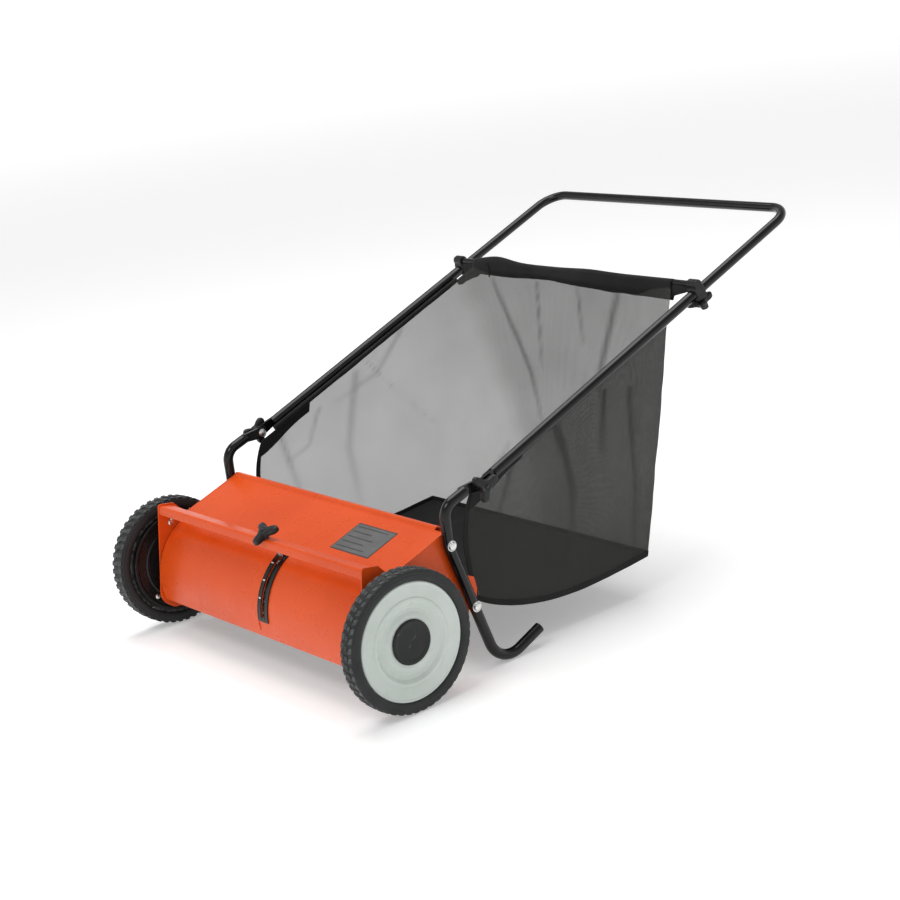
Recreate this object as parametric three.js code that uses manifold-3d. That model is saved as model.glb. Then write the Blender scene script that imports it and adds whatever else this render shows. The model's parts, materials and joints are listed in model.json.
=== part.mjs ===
// A push lawn sweeper: an orange sheet-steel housing with a geared brush between two wheels, a
// swinging front cover, lower tubes that end in parking hooks, a folding tube handle and a mesh
// hopper that hangs from it. Millimetres, +Z up, +Y towards the handle, +X the right-hand side.
// Shapes are written in the machine's own frame (y = 0 at the wheel axle) and the whole machine is
// then tilted back about the axle until its two hooks stand on the ground behind the wheels.
import * as THREE from 'three';
import { mergeVertices } from 'three/addons/utils/BufferGeometryUtils.js';
import Module from 'manifold-3d';

const wasm = await Module();
wasm.setup();

// ---- driving dimensions ------------------------------------------------------------------
const GAP = 0.3; // between pieces that touch
const WHEEL_R = 101.6; // an eight-inch wheel
const WHEEL_W = 30;
const WHEEL_IN = 293.5; // |x| of a wheel's inner face
const AXLE = [0, WHEEL_R]; // y, z
const PLATE_X = 270; // |x| of a side plate's middle
const PLATE_T = 2.4;
const SPAN = PLATE_X - PLATE_T / 2 - GAP; // half length of what fits between the plates

const MODULE = 2.5; // gear tooth size
const RING_TEETH = 56;
const PINION_TEETH = 14;
const PRESSURE = THREE.MathUtils.degToRad(20);
const GEAR_CENTRES = (MODULE * (RING_TEETH - PINION_TEETH)) / 2;
const BRUSH_DROP = 8.6; // brush axis below the wheel axle
const BRUSH = [Math.sqrt(GEAR_CENTRES ** 2 - BRUSH_DROP ** 2), WHEEL_R - BRUSH_DROP];
const MESH_ANGLE = Math.atan2(BRUSH[1] - AXLE[1], BRUSH[0] - AXLE[0]);
const GEAR_FACE = [4.5, 13]; // pinion's ends, measured outwards from the wheel's inner face
const SHAFT_R = 6;
const BRISTLE_R = 82;
const CORE_R = 21;
const BRUSH_HALF = 256;
const BRUSH_ROWS = 4;

const COVER_R = 98; // inside radius of the front cover, about the brush axis
const COVER_T = 1.2;
const COVER_ARC = [122, 206]; // degrees, from +Y through +Z
const GUIDE_ARC = [120, 190];
const GUIDE_T = 1.2;
const SLOT_ARC = [127, 186];
const SLOT_W = 8;
const KNOB_ANGLE = 129.5; // direction of the clamp bolt from the brush axis
const KNOB_SEAT = 142; // and how far out its knob sits
const GUIDE_X = 27; // x of the slot, its guide and the clamp bolt
const GUIDE_HALF = 13;
const FRONT_ARM = 32; // degrees from +X to the front knob's first arm

const TUBE_R = 8;
const TUBE_WALL = 1.3;
const TUBE_X = 279.8; // |x| of the handle and lower tubes
const HOOK_TIP = [261, 71];
const HOOK_VERTEX = [187, 22];
const HOOK_BEND = 41;
const TUBE_BOLTS = [[94.2, 214.9], [138.7, 121.9]];
const NECK_CORNER = [86, 268];
const NECK_BEND = 24;
const PIVOT = [149, 293]; // handle fold bolt
const HANDLE_SLOPE = THREE.MathUtils.degToRad(30.3);
const LOWER_TAB_SLOPE = THREE.MathUtils.degToRad(12);
const CORNER_Y = 765; // y of the grip's crossing tube
const CORNER_BEND = 38;
const CLAMP_Y = 565; // y of the upper clamps and of the crossbar they carry
const CROSSBAR_R = 5;
const CROSSBAR_LIFT = TUBE_R + CROSSBAR_R + GAP; // above the handle tubes, square to them
const CROSSBAR_HALF = 288;
const TAB_R = 9;
const TAB_LENGTH = 27; // from the fold bolt to the round part of a tube
const TAB_T = 5;
const FOLD_KNOB_X = TUBE_X + 2 * GAP + TAB_T;

const BAG_X = 268; // |x| of the hopper's side panels
const CLOTH_T = 1.6;
const ROD_R = 3;
const ROD_DROP = 4; // side rods below the handle tubes' centre lines, square to them
const BAG_FRONT = [156, 127];
const BAG_REAR_LOW = [487, 143];
const BAG_TOP_HALF = 238; // half width of the rear panel at the crossbar
const BAG_SAG = 28;

const ORANGE = 0xe8602c;
const BLACK = 0x141414;
const ZINC = 0xc9ccce;
const PALE = 0xb9c5bd;
const MESH_GREY = 0x4a4b4a;

// ---- geometry helpers --------------------------------------------------------------------
const polar = ([y, z], radius, degrees) => {
  const a = THREE.MathUtils.degToRad(degrees);
  return [y + radius * Math.cos(a), z + radius * Math.sin(a)];
};
const along = ([y, z], length, angle) => [y + length * Math.cos(angle), z + length * Math.sin(angle)];
const offsetBelow = ([y, z], drop, angle) => [y + drop * Math.sin(angle), z - drop * Math.cos(angle)];
const onHandle = (y) => [y, PIVOT[1] + (y - PIVOT[0]) * Math.tan(HANDLE_SLOPE)];

// Only positions are kept, shared corners are merged, empty triangles go, and faces point out.
function clean(geometry) {
  const bare = new THREE.BufferGeometry();
  bare.setAttribute('position', geometry.getAttribute('position').clone());
  if (geometry.index) bare.setIndex(geometry.index.clone());
  const merged = mergeVertices(bare, 1e-4);
  const p = merged.getAttribute('position');
  const index = merged.index.array;
  const kept = [];
  let volume = 0;
  const corner = [new THREE.Vector3(), new THREE.Vector3(), new THREE.Vector3()];
  for (let i = 0; i < index.length; i += 3) {
    const [a, b, c] = [index[i], index[i + 1], index[i + 2]];
    if (a === b || b === c || a === c) continue;
    kept.push(a, b, c);
    [a, b, c].forEach((v, k) => corner[k].fromBufferAttribute(p, v));
    volume += corner[0].dot(corner[1].cross(corner[2]));
  }
  if (volume < 0) kept.reverse();
  merged.setIndex(kept);
  return merged;
}

function toSolid(geometry) {
  const ready = clean(geometry);
  return new wasm.Manifold(new wasm.Mesh({
    numProp: 3,
    vertProperties: new Float32Array(ready.getAttribute('position').array),
    triVerts: new Uint32Array(ready.index.array),
  }));
}

function fromSolid(solid) {
  const mesh = solid.getMesh();
  const geometry = new THREE.BufferGeometry();
  geometry.setAttribute('position', new THREE.BufferAttribute(new Float32Array(mesh.vertProperties), 3));
  geometry.setIndex(Array.from(mesh.triVerts));
  return geometry;
}

const join = (first, ...others) =>
  fromSolid(others.reduce((whole, other) => whole.add(toSolid(other)), toSolid(first)));
const cut = (first, ...others) =>
  fromSolid(others.reduce((whole, other) => whole.subtract(toSolid(other)), toSolid(first)));

// An outline in the Y-Z plane, pushed along X from x0 to x1.
function slab(shape, x0, x1, curveSegments = 6) {
  const geometry = new THREE.ExtrudeGeometry(shape, { depth: x1 - x0, bevelEnabled: false, curveSegments });
  const basis = new THREE.Matrix4().makeBasis(
    new THREE.Vector3(0, 1, 0), new THREE.Vector3(0, 0, 1), new THREE.Vector3(1, 0, 0));
  return geometry.applyMatrix4(basis).translate(x0, 0, 0);
}

function outline(points) {
  const shape = new THREE.Shape();
  points.forEach(([y, z], i) => (i ? shape.lineTo(y, z) : shape.moveTo(y, z)));
  shape.closePath();
  return shape;
}

// A sheet of one thickness that follows an open line of points in the Y-Z plane.
function sheetOutline(points, thickness) {
  const normals = points.map((_, i) => {
    const [a, b] = [points[Math.max(i - 1, 0)], points[Math.min(i + 1, points.length - 1)]];
    const n = new THREE.Vector2(a[1] - b[1], b[0] - a[0]).normalize();
    return n.multiplyScalar(thickness / 2);
  });
  const one = points.map(([y, z], i) => [y + normals[i].x, z + normals[i].y]);
  const other = points.map(([y, z], i) => [y - normals[i].x, z - normals[i].y]);
  return outline([...one, ...other.reverse()]);
}

// Points [radius, x] turned about an X-wise line through a [y, z] centre.
function turned(profile, [y, z], segments = 32) {
  const points = [...profile, profile[0]].map(([radius, x]) => new THREE.Vector2(radius, x));
  const geometry = new THREE.LatheGeometry(points, segments);
  const basis = new THREE.Matrix4().makeBasis(
    new THREE.Vector3(0, 1, 0), new THREE.Vector3(1, 0, 0), new THREE.Vector3(0, 0, -1));
  return geometry.applyMatrix4(basis).translate(0, y, z);
}

const rod = (radius, x0, x1, centre, segments = 16) =>
  turned([[0, x0], [radius, x0], [radius, x1], [0, x1]], centre, segments);

// A path through stations that are spaced by hand, so straight stretches take no extra steps.
class StationPath extends THREE.Curve {
  constructor(stations) {
    super();
    this.stations = stations;
  }
  getPoint(t, target = new THREE.Vector3()) {
    const at = Math.min(t * (this.stations.length - 1), this.stations.length - 1.000001);
    const i = Math.floor(at);
    return target.copy(this.stations[i]).lerp(this.stations[i + 1], at - i);
  }
  getPointAt(u, target) {
    return this.getPoint(u, target);
  }
  getTangentAt(u, target = new THREE.Vector3()) {
    const last = this.stations.length - 1;
    const i = Math.round(u * last);
    const before = new THREE.Vector3();
    const after = new THREE.Vector3();
    if (i > 0) before.subVectors(this.stations[i], this.stations[i - 1]).normalize();
    if (i < last) after.subVectors(this.stations[i + 1], this.stations[i]).normalize();
    return target.addVectors(before, after).normalize();
  }
}

// Corner points become arcs of the bend radius given for them.
function filleted(corners, bend, steps = 6) {
  const stations = [corners[0]];
  for (let i = 1; i < corners.length - 1; i += 1) {
    const into = new THREE.Vector3().subVectors(corners[i], corners[i - 1]).normalize();
    const out = new THREE.Vector3().subVectors(corners[i + 1], corners[i]).normalize();
    const turn = into.angleTo(out);
    const reach = bend * Math.tan(turn / 2);
    const side = new THREE.Vector3().subVectors(out, into).normalize();
    const centre = corners[i].clone().addScaledVector(side, bend / Math.cos(turn / 2));
    const start = corners[i].clone().addScaledVector(into, -reach).sub(centre);
    const axis = new THREE.Vector3().crossVectors(into, out).normalize();
    for (let k = 0; k <= steps; k += 1) {
      stations.push(start.clone().applyAxisAngle(axis, (turn * k) / steps).add(centre));
    }
  }
  stations.push(corners[corners.length - 1]);
  return stations;
}

// A tube, or a solid bar where the wall is 0, along a row of stations.
function tube(stations, radius, wall, sides = 8) {
  const section = new THREE.Shape().absarc(0, 0, radius, 0, Math.PI * 2);
  if (wall) section.holes.push(new THREE.Path().absarc(0, 0, radius - wall, 0, Math.PI * 2, true));
  return new THREE.ExtrudeGeometry(section, {
    steps: stations.length - 1,
    curveSegments: sides / 2,
    extrudePath: new StationPath(stations),
  });
}

const inPlane = (x, points) => points.map(([y, z]) => new THREE.Vector3(x, y, z));

// ---- assembly ----------------------------------------------------------------------------
const machine = new THREE.Group();
const finishes = {
  orange: [ORANGE, 0.35, 0.2],
  black: [BLACK, 0.3, 0.3],
  plastic: [BLACK, 0.55, 0],
  rubber: [BLACK, 0.85, 0],
  zinc: [ZINC, 0.3, 0.9],
  pale: [PALE, 0.45, 0],
  mesh: [MESH_GREY, 0.8, 0],
  cloth: [BLACK, 0.9, 0],
  bristle: [0x1c1c1c, 0.8, 0],
};

function add(name, geometry, finish) {
  const [color, roughness, metalness] = finishes[finish];
  const material = new THREE.MeshStandardMaterial({ color, roughness, metalness, name: finish });
  const mesh = new THREE.Mesh(clean(geometry), material);
  mesh.name = name;
  machine.add(mesh);
}

// s is -1 on the left side and 1 on the right; near and far are distances from the middle plane.
const SIDES = [['left', -1], ['right', 1]];
const between = (s, near, far) => (s > 0 ? [near, far] : [-far, -near]);
const sided = (s, profile) => profile.map(([radius, x]) => [radius, s * x]);

// ---- housing -----------------------------------------------------------------------------
function sidePlate(s) {
  const shape = new THREE.Shape();
  shape.moveTo(-47, 201);
  shape.lineTo(-46, 95);
  shape.quadraticCurveTo(-46, 48, -22, 34);
  shape.lineTo(96, 40);
  shape.quadraticCurveTo(126, 46, 130, 74);
  shape.lineTo(138, 112);
  shape.lineTo(134, 134);
  shape.lineTo(101, 232);
  shape.lineTo(93, 231);
  shape.lineTo(2, 183);
  shape.lineTo(-20, 201);
  const [x0, x1] = between(s, PLATE_X - PLATE_T / 2, PLATE_X + PLATE_T / 2);
  const drill = (radius, centre) => rod(radius, -PLATE_X - 20, PLATE_X + 20, centre, 16);
  return cut(slab(shape, x0, x1),
    drill(SHAFT_R + GAP, AXLE), drill(9 + GAP, BRUSH), ...TUBE_BOLTS.map((at) => drill(3 + GAP, at)));
}

// From the curled rear lip down the slope to the front edge, just clear of the cover's travel.
const PANEL_T = 1.5;
const PANEL_LINE = [[104, 225], [104, 230.5], [101, 233.8], [97, 233.8], [93, 230.6], [88, 227.5], [6, 184]];

function topPanel() {
  return slab(sheetOutline(PANEL_LINE, PANEL_T), -SPAN, SPAN);
}

function frontTieBar() {
  const line = [[-24, 196.5], [-41, 197.5], [-44.5, 194], [-44.5, 185]];
  const bar = slab(sheetOutline(line, 2), -SPAN, SPAN);
  return cut(bar, clampCylinder(4.2, 110, 150));
}

const REAR_ROD = [147.5, 130];
const REAR_ROD_R = 4.5;
const BRACKET_T = 3;

function rearTieRod() {
  return rod(REAR_ROD_R, -SPAN + BRACKET_T + GAP, SPAN - BRACKET_T - GAP, REAR_ROD, 12);
}

// A round bar along the clamp bolt's line, between two distances from the brush axis.
function clampCylinder(radius, from, to, segments = 12) {
  const angle = THREE.MathUtils.degToRad(KNOB_ANGLE - 90);
  return new THREE.CylinderGeometry(radius, radius, to - from, segments)
    .rotateX(Math.PI / 2)
    .translate(0, 0, (from + to) / 2)
    .rotateX(angle)
    .translate(GUIDE_X, BRUSH[0], BRUSH[1]);
}

function frontBolt() {
  return join(clampCylinder(7, COVER_R - 4, COVER_R - 1), clampCylinder(2.8, COVER_R - 2, KNOB_SEAT + 13),
    clampCylinder(5.5, COVER_R + COVER_T + 4, 126), clampCylinder(3.6, 125, KNOB_SEAT - GAP));
}

function stubAxle(s) {
  const end = WHEEL_IN + 24;
  const profile = [[0, 264.5], [11, 264.5], [11, 268.4], [SHAFT_R, 268.4], [SHAFT_R, end - 1],
    [SHAFT_R - 1, end], [0, end]];
  return turned(sided(s, profile), AXLE, 24);
}

function shaftBearing(s) {
  const inner = SHAFT_R + GAP;
  const profile = [[inner, 264.5], [14, 264.5], [14, 268.4], [9, 268.4], [9, 272.6], [inner, 272.6]];
  return turned(sided(s, profile), BRUSH, 24);
}

function gearCover(s) {
  const faces = between(s, 289.6, 292.2);
  const back = 271.5;
  const disc = turned(sided(s, [[0, 289.6], [75, 289.6], [77, 288.6], [79, 288.6], [79, 290.2],
    [77.5, 292.2], [0, 292.2]]), AXLE, 28);
  const axleBoss = rod(12, ...between(s, back, 290), AXLE, 20);
  const shaftBoss = rod(14, ...between(s, 273.2, 290), BRUSH, 20);
  const wide = [faces[0] - 40, faces[1] + 40];
  return cut(join(disc, axleBoss, shaftBoss),
    rod(SHAFT_R + GAP, ...wide, AXLE, 20), rod(SHAFT_R + GAP, ...wide, BRUSH, 20));
}

// ---- lower tubes, with the parking hook and the flattened end at the fold bolt ------------
// The tab's angle is the way it runs from the fold bolt.
function tab(s, near, angle) {
  const shape = new THREE.Shape();
  const tip = angle + Math.PI;
  shape.absarc(PIVOT[0], PIVOT[1], TAB_R, tip - Math.PI / 2, tip + Math.PI / 2, false);
  const far = along(PIVOT, TAB_LENGTH + 8, angle);
  const left = along(far, TUBE_R - 1.5, angle - Math.PI / 2);
  const right = along(far, TUBE_R - 1.5, angle + Math.PI / 2);
  shape.lineTo(...left);
  shape.lineTo(...right);
  shape.closePath();
  return slab(shape, ...between(s, near, near + TAB_T), 8);
}

const pivotHole = (s) => rod(4 + GAP, ...between(s, 260, 300), PIVOT, 16);

function lowerTube(s) {
  const top = along(PIVOT, -TAB_LENGTH, LOWER_TAB_SLOPE);
  const corners = inPlane(s * TUBE_X, [HOOK_TIP, HOOK_VERTEX, TUBE_BOLTS[0], NECK_CORNER, top]);
  const hook = filleted(corners.slice(0, 3), HOOK_BEND, 7).slice(0, -1);
  const neck = filleted(corners.slice(1), NECK_BEND, 5).slice(1);
  const drill = (at) => rod(3 + GAP, ...between(s, 260, 300), at, 12);
  return cut(join(tube([...hook, ...neck], TUBE_R, TUBE_WALL), tab(s, TUBE_X - GAP - TAB_T, LOWER_TAB_SLOPE + Math.PI)),
    ...TUBE_BOLTS.map(drill), pivotHole(s));
}

// The nut lies against whatever is innermost on the bolt; inner is the |x| of its inner end.
function tubeBolt(s, at, inner) {
  const head = TUBE_X + TUBE_R + GAP;
  const profile = [[0, inner], [5.5, inner], [5.5, inner + 3], [3, inner + 3], [3, head], [6.5, head],
    [6.5, head + 1.5], [4.5, head + 3.6], [0, head + 4]];
  return turned(sided(s, profile), at, 12);
}

function foldBolt(s) {
  const head = TUBE_X - GAP - TAB_T - GAP;
  const profile = [[0, head - 3.4], [5.5, head - 3], [6.5, head], [4, head], [4, head + 24], [3, head + 24.6],
    [0, head + 24.6]];
  return turned(sided(s, profile), PIVOT, 12);
}

// A small plate on the lower tube bolt that carries the rear tie rod.
function bagBracket(s) {
  const shape = outline([[120, 108], [134, 110], [153, 120], [154.5, 142], [149, 160], [139, 163], [122, 150]]);
  return cut(slab(shape, ...between(s, SPAN - BRACKET_T, SPAN)),
    rod(3 + GAP, -PLATE_X, PLATE_X, TUBE_BOLTS[1], 12));
}

// ---- front cover -------------------------------------------------------------------------
function arcSheet(radius, thickness, [from, to], x0, x1, steps) {
  const line = Array.from({ length: steps + 1 }, (_, i) =>
    polar(BRUSH, radius + thickness / 2, from + ((to - from) * i) / steps));
  return slab(sheetOutline(line, thickness), x0, x1);
}

const slotCutter = () =>
  arcSheet(COVER_R - 4, 14, SLOT_ARC, GUIDE_X - SLOT_W / 2, GUIDE_X + SLOT_W / 2, 12);

function frontCover() {
  const lip = polar(BRUSH, COVER_R - 8, COVER_ARC[1] - 1);
  const edge = polar(BRUSH, COVER_R + COVER_T / 2, COVER_ARC[1]);
  const flange = slab(sheetOutline([edge, lip], COVER_T), -SPAN + 2, SPAN - 2);
  return cut(join(arcSheet(COVER_R, COVER_T, COVER_ARC, -SPAN + 2, SPAN - 2, 18), flange), slotCutter());
}

function slotGuide() {
  const inner = COVER_R + COVER_T + GAP;
  return cut(arcSheet(inner, GUIDE_T, GUIDE_ARC, GUIDE_X - GUIDE_HALF, GUIDE_X + GUIDE_HALF, 14), slotCutter());
}

function coverArm(s) {
  const shape = new THREE.Shape();
  const reach = COVER_R - GAP;
  const mid = THREE.MathUtils.degToRad(162);
  const spread = THREE.MathUtils.degToRad(26);
  shape.absarc(...BRUSH, reach, mid - spread, mid + spread, false);
  shape.lineTo(...along(BRUSH, reach - 14, mid + spread));
  shape.absarc(...BRUSH, 17, mid + 1.2, mid - 1.2 + 2 * Math.PI, false);
  shape.lineTo(...along(BRUSH, reach - 14, mid - spread));
  shape.closePath();
  return cut(slab(shape, ...between(s, 260, 262.5), 8), rod(SHAFT_R + 0.4, -300, 300, BRUSH, 24));
}

// ---- brush and gears ---------------------------------------------------------------------
const involute = (angle) => Math.tan(angle) - angle;

// A gear outline with a tooth centred on the given angle; slack widens or thins each tooth.
function gearOutline(teeth, below, above, slack, centre, turn, steps) {
  const pitch = (MODULE * teeth) / 2;
  const base = pitch * Math.cos(PRESSURE);
  const [root, tip] = [pitch - below * MODULE, pitch + above * MODULE];
  const halfAt = (radius) => {
    const pressure = radius > base ? Math.acos(base / radius) : 0;
    return Math.PI / (2 * teeth) + slack / pitch + involute(PRESSURE) - involute(pressure);
  };
  const flank = Array.from({ length: steps + 1 }, (_, i) => root + ((tip - root) * i) / steps);
  const points = [];
  for (let i = 0; i < teeth; i += 1) {
    const middle = turn + (2 * Math.PI * i) / teeth;
    flank.forEach((radius) => points.push(along(centre, radius, middle - halfAt(radius))));
    [...flank].reverse().forEach((radius) => points.push(along(centre, radius, middle + halfAt(radius))));
  }
  return outline(points);
}

function pinion(s) {
  const [from, to] = GEAR_FACE;
  const teeth = slab(gearOutline(PINION_TEETH, 1.2, 0.9, -0.14, BRUSH, MESH_ANGLE, 2),
    ...between(s, WHEEL_IN + from, WHEEL_IN + to));
  const hub = rod(11, ...between(s, WHEEL_IN + 1, WHEEL_IN + to + 1), BRUSH, 20);
  return cut(join(teeth, hub), rod(SHAFT_R + GAP, -400, 400, BRUSH, 20));
}

function brushShaft() {
  const end = WHEEL_IN + GEAR_FACE[1] + 1.5;
  return rod(SHAFT_R, -end, end, BRUSH, 20);
}

function brushCore() {
  const shape = new THREE.Shape().absarc(...BRUSH, CORE_R, 0, Math.PI * 2);
  shape.holes.push(new THREE.Path().absarc(...BRUSH, SHAFT_R + GAP, 0, Math.PI * 2, true));
  return slab(shape, -BRUSH_HALF, BRUSH_HALF, 12);
}

function brushRow(i) {
  const angle = (2 * Math.PI * i) / BRUSH_ROWS + Math.PI / 4;
  const [foot, tip] = [CORE_R + GAP, BRISTLE_R];
  const corners = [[foot, -3.5], [tip - 2, -6], [tip, 0], [tip - 2, 6], [foot, 3.5]];
  const shape = outline(corners.map(([r, w]) => along(along(BRUSH, r, angle), w, angle + Math.PI / 2)));
  return slab(shape, -BRUSH_HALF + 2, BRUSH_HALF - 2);
}

// ---- wheels ------------------------------------------------------------------------------
function tyre(s) {
  const w = WHEEL_IN;
  const profile = [[84, w + 1.5], [96, w], [100, w + 2], [WHEEL_R, w + 7], [WHEEL_R, w + WHEEL_W - 7],
    [100, w + WHEEL_W - 2], [96, w + WHEEL_W], [86, w + WHEEL_W - 1.5], [84, w + WHEEL_W - 3]];
  return turned(sided(s, profile), AXLE, 44);
}

const RIM_R = 83.7;
const RIM_BORE = SHAFT_R + GAP;

// The black inner rim: a drum with the ring gear inside, a web and the hub that runs on the axle.
function rim(s) {
  const w = WHEEL_IN;
  const profile = [[RIM_R, w + 2], [RIM_R, w + 20.7], [RIM_BORE, w + 20.7], [RIM_BORE, w + 4], [14, w + 4],
    [16, w + 15], [62, w + 15.5], [79.5, w + 17], [79.5, w + 2]];
  const band = new THREE.Shape().absarc(...AXLE, 80.5, 0, Math.PI * 2);
  band.holes.push(gearOutline(RING_TEETH, 0.8, 1.2, 0.14, AXLE, MESH_ANGLE, 1));
  const teeth = slab(band, ...between(s, w + GEAR_FACE[0] - 1, w + GEAR_FACE[1] + 1), 12);
  return join(turned(sided(s, profile), AXLE, 36), teeth);
}

// The pale dished disc on the outside of the rim.
function wheelDisc(s) {
  const w = WHEEL_IN;
  const profile = [[RIM_R, w + 21], [RIM_R, w + 26], [81, w + 27.5], [72, w + 27], [62, w + 24.2],
    [38, w + 25], [RIM_BORE, w + 25], [RIM_BORE, w + 21]];
  return turned(sided(s, profile), AXLE, 36);
}

function hubCap(s) {
  const w = WHEEL_IN;
  const profile = [[0, w + 25.3], [31.5, w + 25.3], [32, w + 26.2], [30.5, w + 28], [26, w + 28.6],
    [24.5, w + 27.8], [0, w + 27.8]];
  return turned(sided(s, profile), AXLE, 32);
}

// ---- handle ------------------------------------------------------------------------------
function handleBar(s) {
  const bottom = along(PIVOT, TAB_LENGTH, HANDLE_SLOPE);
  const top = onHandle(CLAMP_Y);
  const length = tube(inPlane(s * TUBE_X, [bottom, top]), TUBE_R, TUBE_WALL);
  return cut(join(length, tab(s, TUBE_X + GAP, HANDLE_SLOPE)), pivotHole(s));
}

function grip() {
  const start = along(onHandle(CLAMP_Y), GAP, HANDLE_SLOPE);
  const corner = onHandle(CORNER_Y);
  const path = [...inPlane(-TUBE_X, [start, corner]), ...inPlane(TUBE_X, [corner, start])];
  const spigot = (s) => join(
    tube(inPlane(s * TUBE_X, [along(start, -28, HANDLE_SLOPE), along(start, 6, HANDLE_SLOPE)]), 6.3, 1),
    tube(inPlane(s * TUBE_X, [start, along(start, 4, HANDLE_SLOPE)]), 7, 1.6));
  return join(tube(filleted(path, CORNER_BEND, 7), TUBE_R, TUBE_WALL), spigot(-1), spigot(1));
}

const clampPoint = (u, v) =>
  along(along(onHandle(CLAMP_Y), u, HANDLE_SLOPE), v, HANDLE_SLOPE + Math.PI / 2);
const CROSSBAR = clampPoint(0, CROSSBAR_LIFT);
const CLAMP_BASE = -11; // underside of the clamp, from the tube's centre line
const CLAMP_SPAN = [270.2, 289.4]; // |x| of its sides

// A moulded clip around the tube: a hook over the crossbar on top, a stud for the knob below.
function upperClamp(s) {
  const body = outline([[-9, CLAMP_BASE], [9, CLAMP_BASE], [9.5, 7], [7.8, 11], [7.8, 16], [4, 21], [-4, 21],
    [-7.8, 16], [-7.8, 11], [-9.5, 7]].map(([u, v]) => clampPoint(u, v)));
  const block = slab(body, ...between(s, ...CLAMP_SPAN));
  const stud = new THREE.CylinderGeometry(3, 3, 12, 12).rotateX(Math.PI / 2).translate(0, 0, 4)
    .rotateX(Math.PI + HANDLE_SLOPE)
    .translate(s * TUBE_X, ...clampPoint(0, CLAMP_BASE));
  const bar = tube(inPlane(s * TUBE_X, [clampPoint(-40, 0), clampPoint(40, 0)]), TUBE_R + GAP, 0);
  return cut(join(block, stud), bar, rod(CROSSBAR_R + GAP, -400, 400, CROSSBAR, 16));
}

function crossbar() {
  return rod(CROSSBAR_R, -CROSSBAR_HALF, CROSSBAR_HALF, CROSSBAR, 16);
}

// ---- three-armed knobs -------------------------------------------------------------------
const KNOB_REACH = 24; // from the knob's axis to the end of an arm
const KNOB_ARM_R = 4.5;
const KNOB_HUB = [[0, 0], [5.5, 0], [6.5, 2], [9, 7], [8.5, 12.5], [0, 12.5]];
const KNOB_ARMS = [2, 11]; // between these distances from the seat

// The knob stands on the origin with its axis along +Z and its first arm at the given degrees.
function armKnob(bore, degrees) {
  const hub = new THREE.LatheGeometry(KNOB_HUB.map(([r, z]) => new THREE.Vector2(r, z)), 15)
    .rotateX(Math.PI / 2);
  const arm = new THREE.Shape();
  arm.moveTo(0, -KNOB_ARM_R - 1.5);
  arm.lineTo(KNOB_REACH - KNOB_ARM_R, -KNOB_ARM_R);
  arm.absarc(KNOB_REACH - KNOB_ARM_R, 0, KNOB_ARM_R, -Math.PI / 2, Math.PI / 2, false);
  arm.lineTo(0, KNOB_ARM_R + 1.5);
  const arms = [0, 1, 2].map((k) =>
    new THREE.ExtrudeGeometry(arm, { depth: KNOB_ARMS[1] - KNOB_ARMS[0], bevelEnabled: false, curveSegments: 4 })
      .translate(0, 0, KNOB_ARMS[0])
      .rotateZ(THREE.MathUtils.degToRad(degrees + 120 * k)));
  const hole = new THREE.CylinderGeometry(bore, bore, 40, 12).rotateX(Math.PI / 2);
  return cut(join(hub, ...arms), hole);
}

// Degrees of a side knob's first arm from +Y through +Z; the clamp knobs hang below their tubes.
const FOLD_ARM = { left: 62, right: -90 };
const CLAMP_ARM = { left: 90, right: 30 };

function foldKnob(side, s) {
  return armKnob(4 + GAP, 0).rotateY((s * Math.PI) / 2)
    .rotateX(THREE.MathUtils.degToRad(FOLD_ARM[side] + 90 * s))
    .translate(s * FOLD_KNOB_X, ...PIVOT);
}

function clampKnob(side, s) {
  return armKnob(3 + GAP, CLAMP_ARM[side]).rotateX(Math.PI + HANDLE_SLOPE)
    .translate(s * TUBE_X, ...clampPoint(0, CLAMP_BASE - GAP));
}

function frontKnob() {
  return armKnob(2.8 + GAP, FRONT_ARM).translate(0, 0, KNOB_SEAT)
    .rotateX(THREE.MathUtils.degToRad(KNOB_ANGLE - 90))
    .translate(GUIDE_X, BRUSH[0], BRUSH[1]);
}

// ---- hopper ------------------------------------------------------------------------------
const hemPoint = (y, drop) => offsetBelow(onHandle(y), drop, HANDLE_SLOPE);
const HEM_FRONT = hemPoint(150, ROD_DROP + ROD_R + GAP);
const HEM_REAR = hemPoint(520, ROD_DROP + ROD_R + GAP);

// The floor sags in a shallow curve between the housing and the rear seam.
function floorLine(steps) {
  return Array.from({ length: steps + 1 }, (_, i) => {
    const t = i / steps;
    const y = THREE.MathUtils.lerp(BAG_FRONT[0], BAG_REAR_LOW[0], t);
    const z = THREE.MathUtils.lerp(BAG_FRONT[1], BAG_REAR_LOW[1], t) - BAG_SAG * Math.sin(Math.PI * t ** 0.8);
    return [y, z];
  });
}

function bagSide(s) {
  const shape = outline([HEM_FRONT, ...floorLine(8), HEM_REAR]);
  return slab(shape, ...between(s, BAG_X - CLOTH_T / 2, BAG_X + CLOTH_T / 2));
}

const CLOTH_SPAN = BAG_X - CLOTH_T / 2 - GAP;

function bagFloor() {
  const line = floorLine(8).map(([y, z]) => [y, z + CLOTH_T]);
  return slab(sheetOutline(line, CLOTH_T), -CLOTH_SPAN, CLOTH_SPAN);
}

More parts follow.
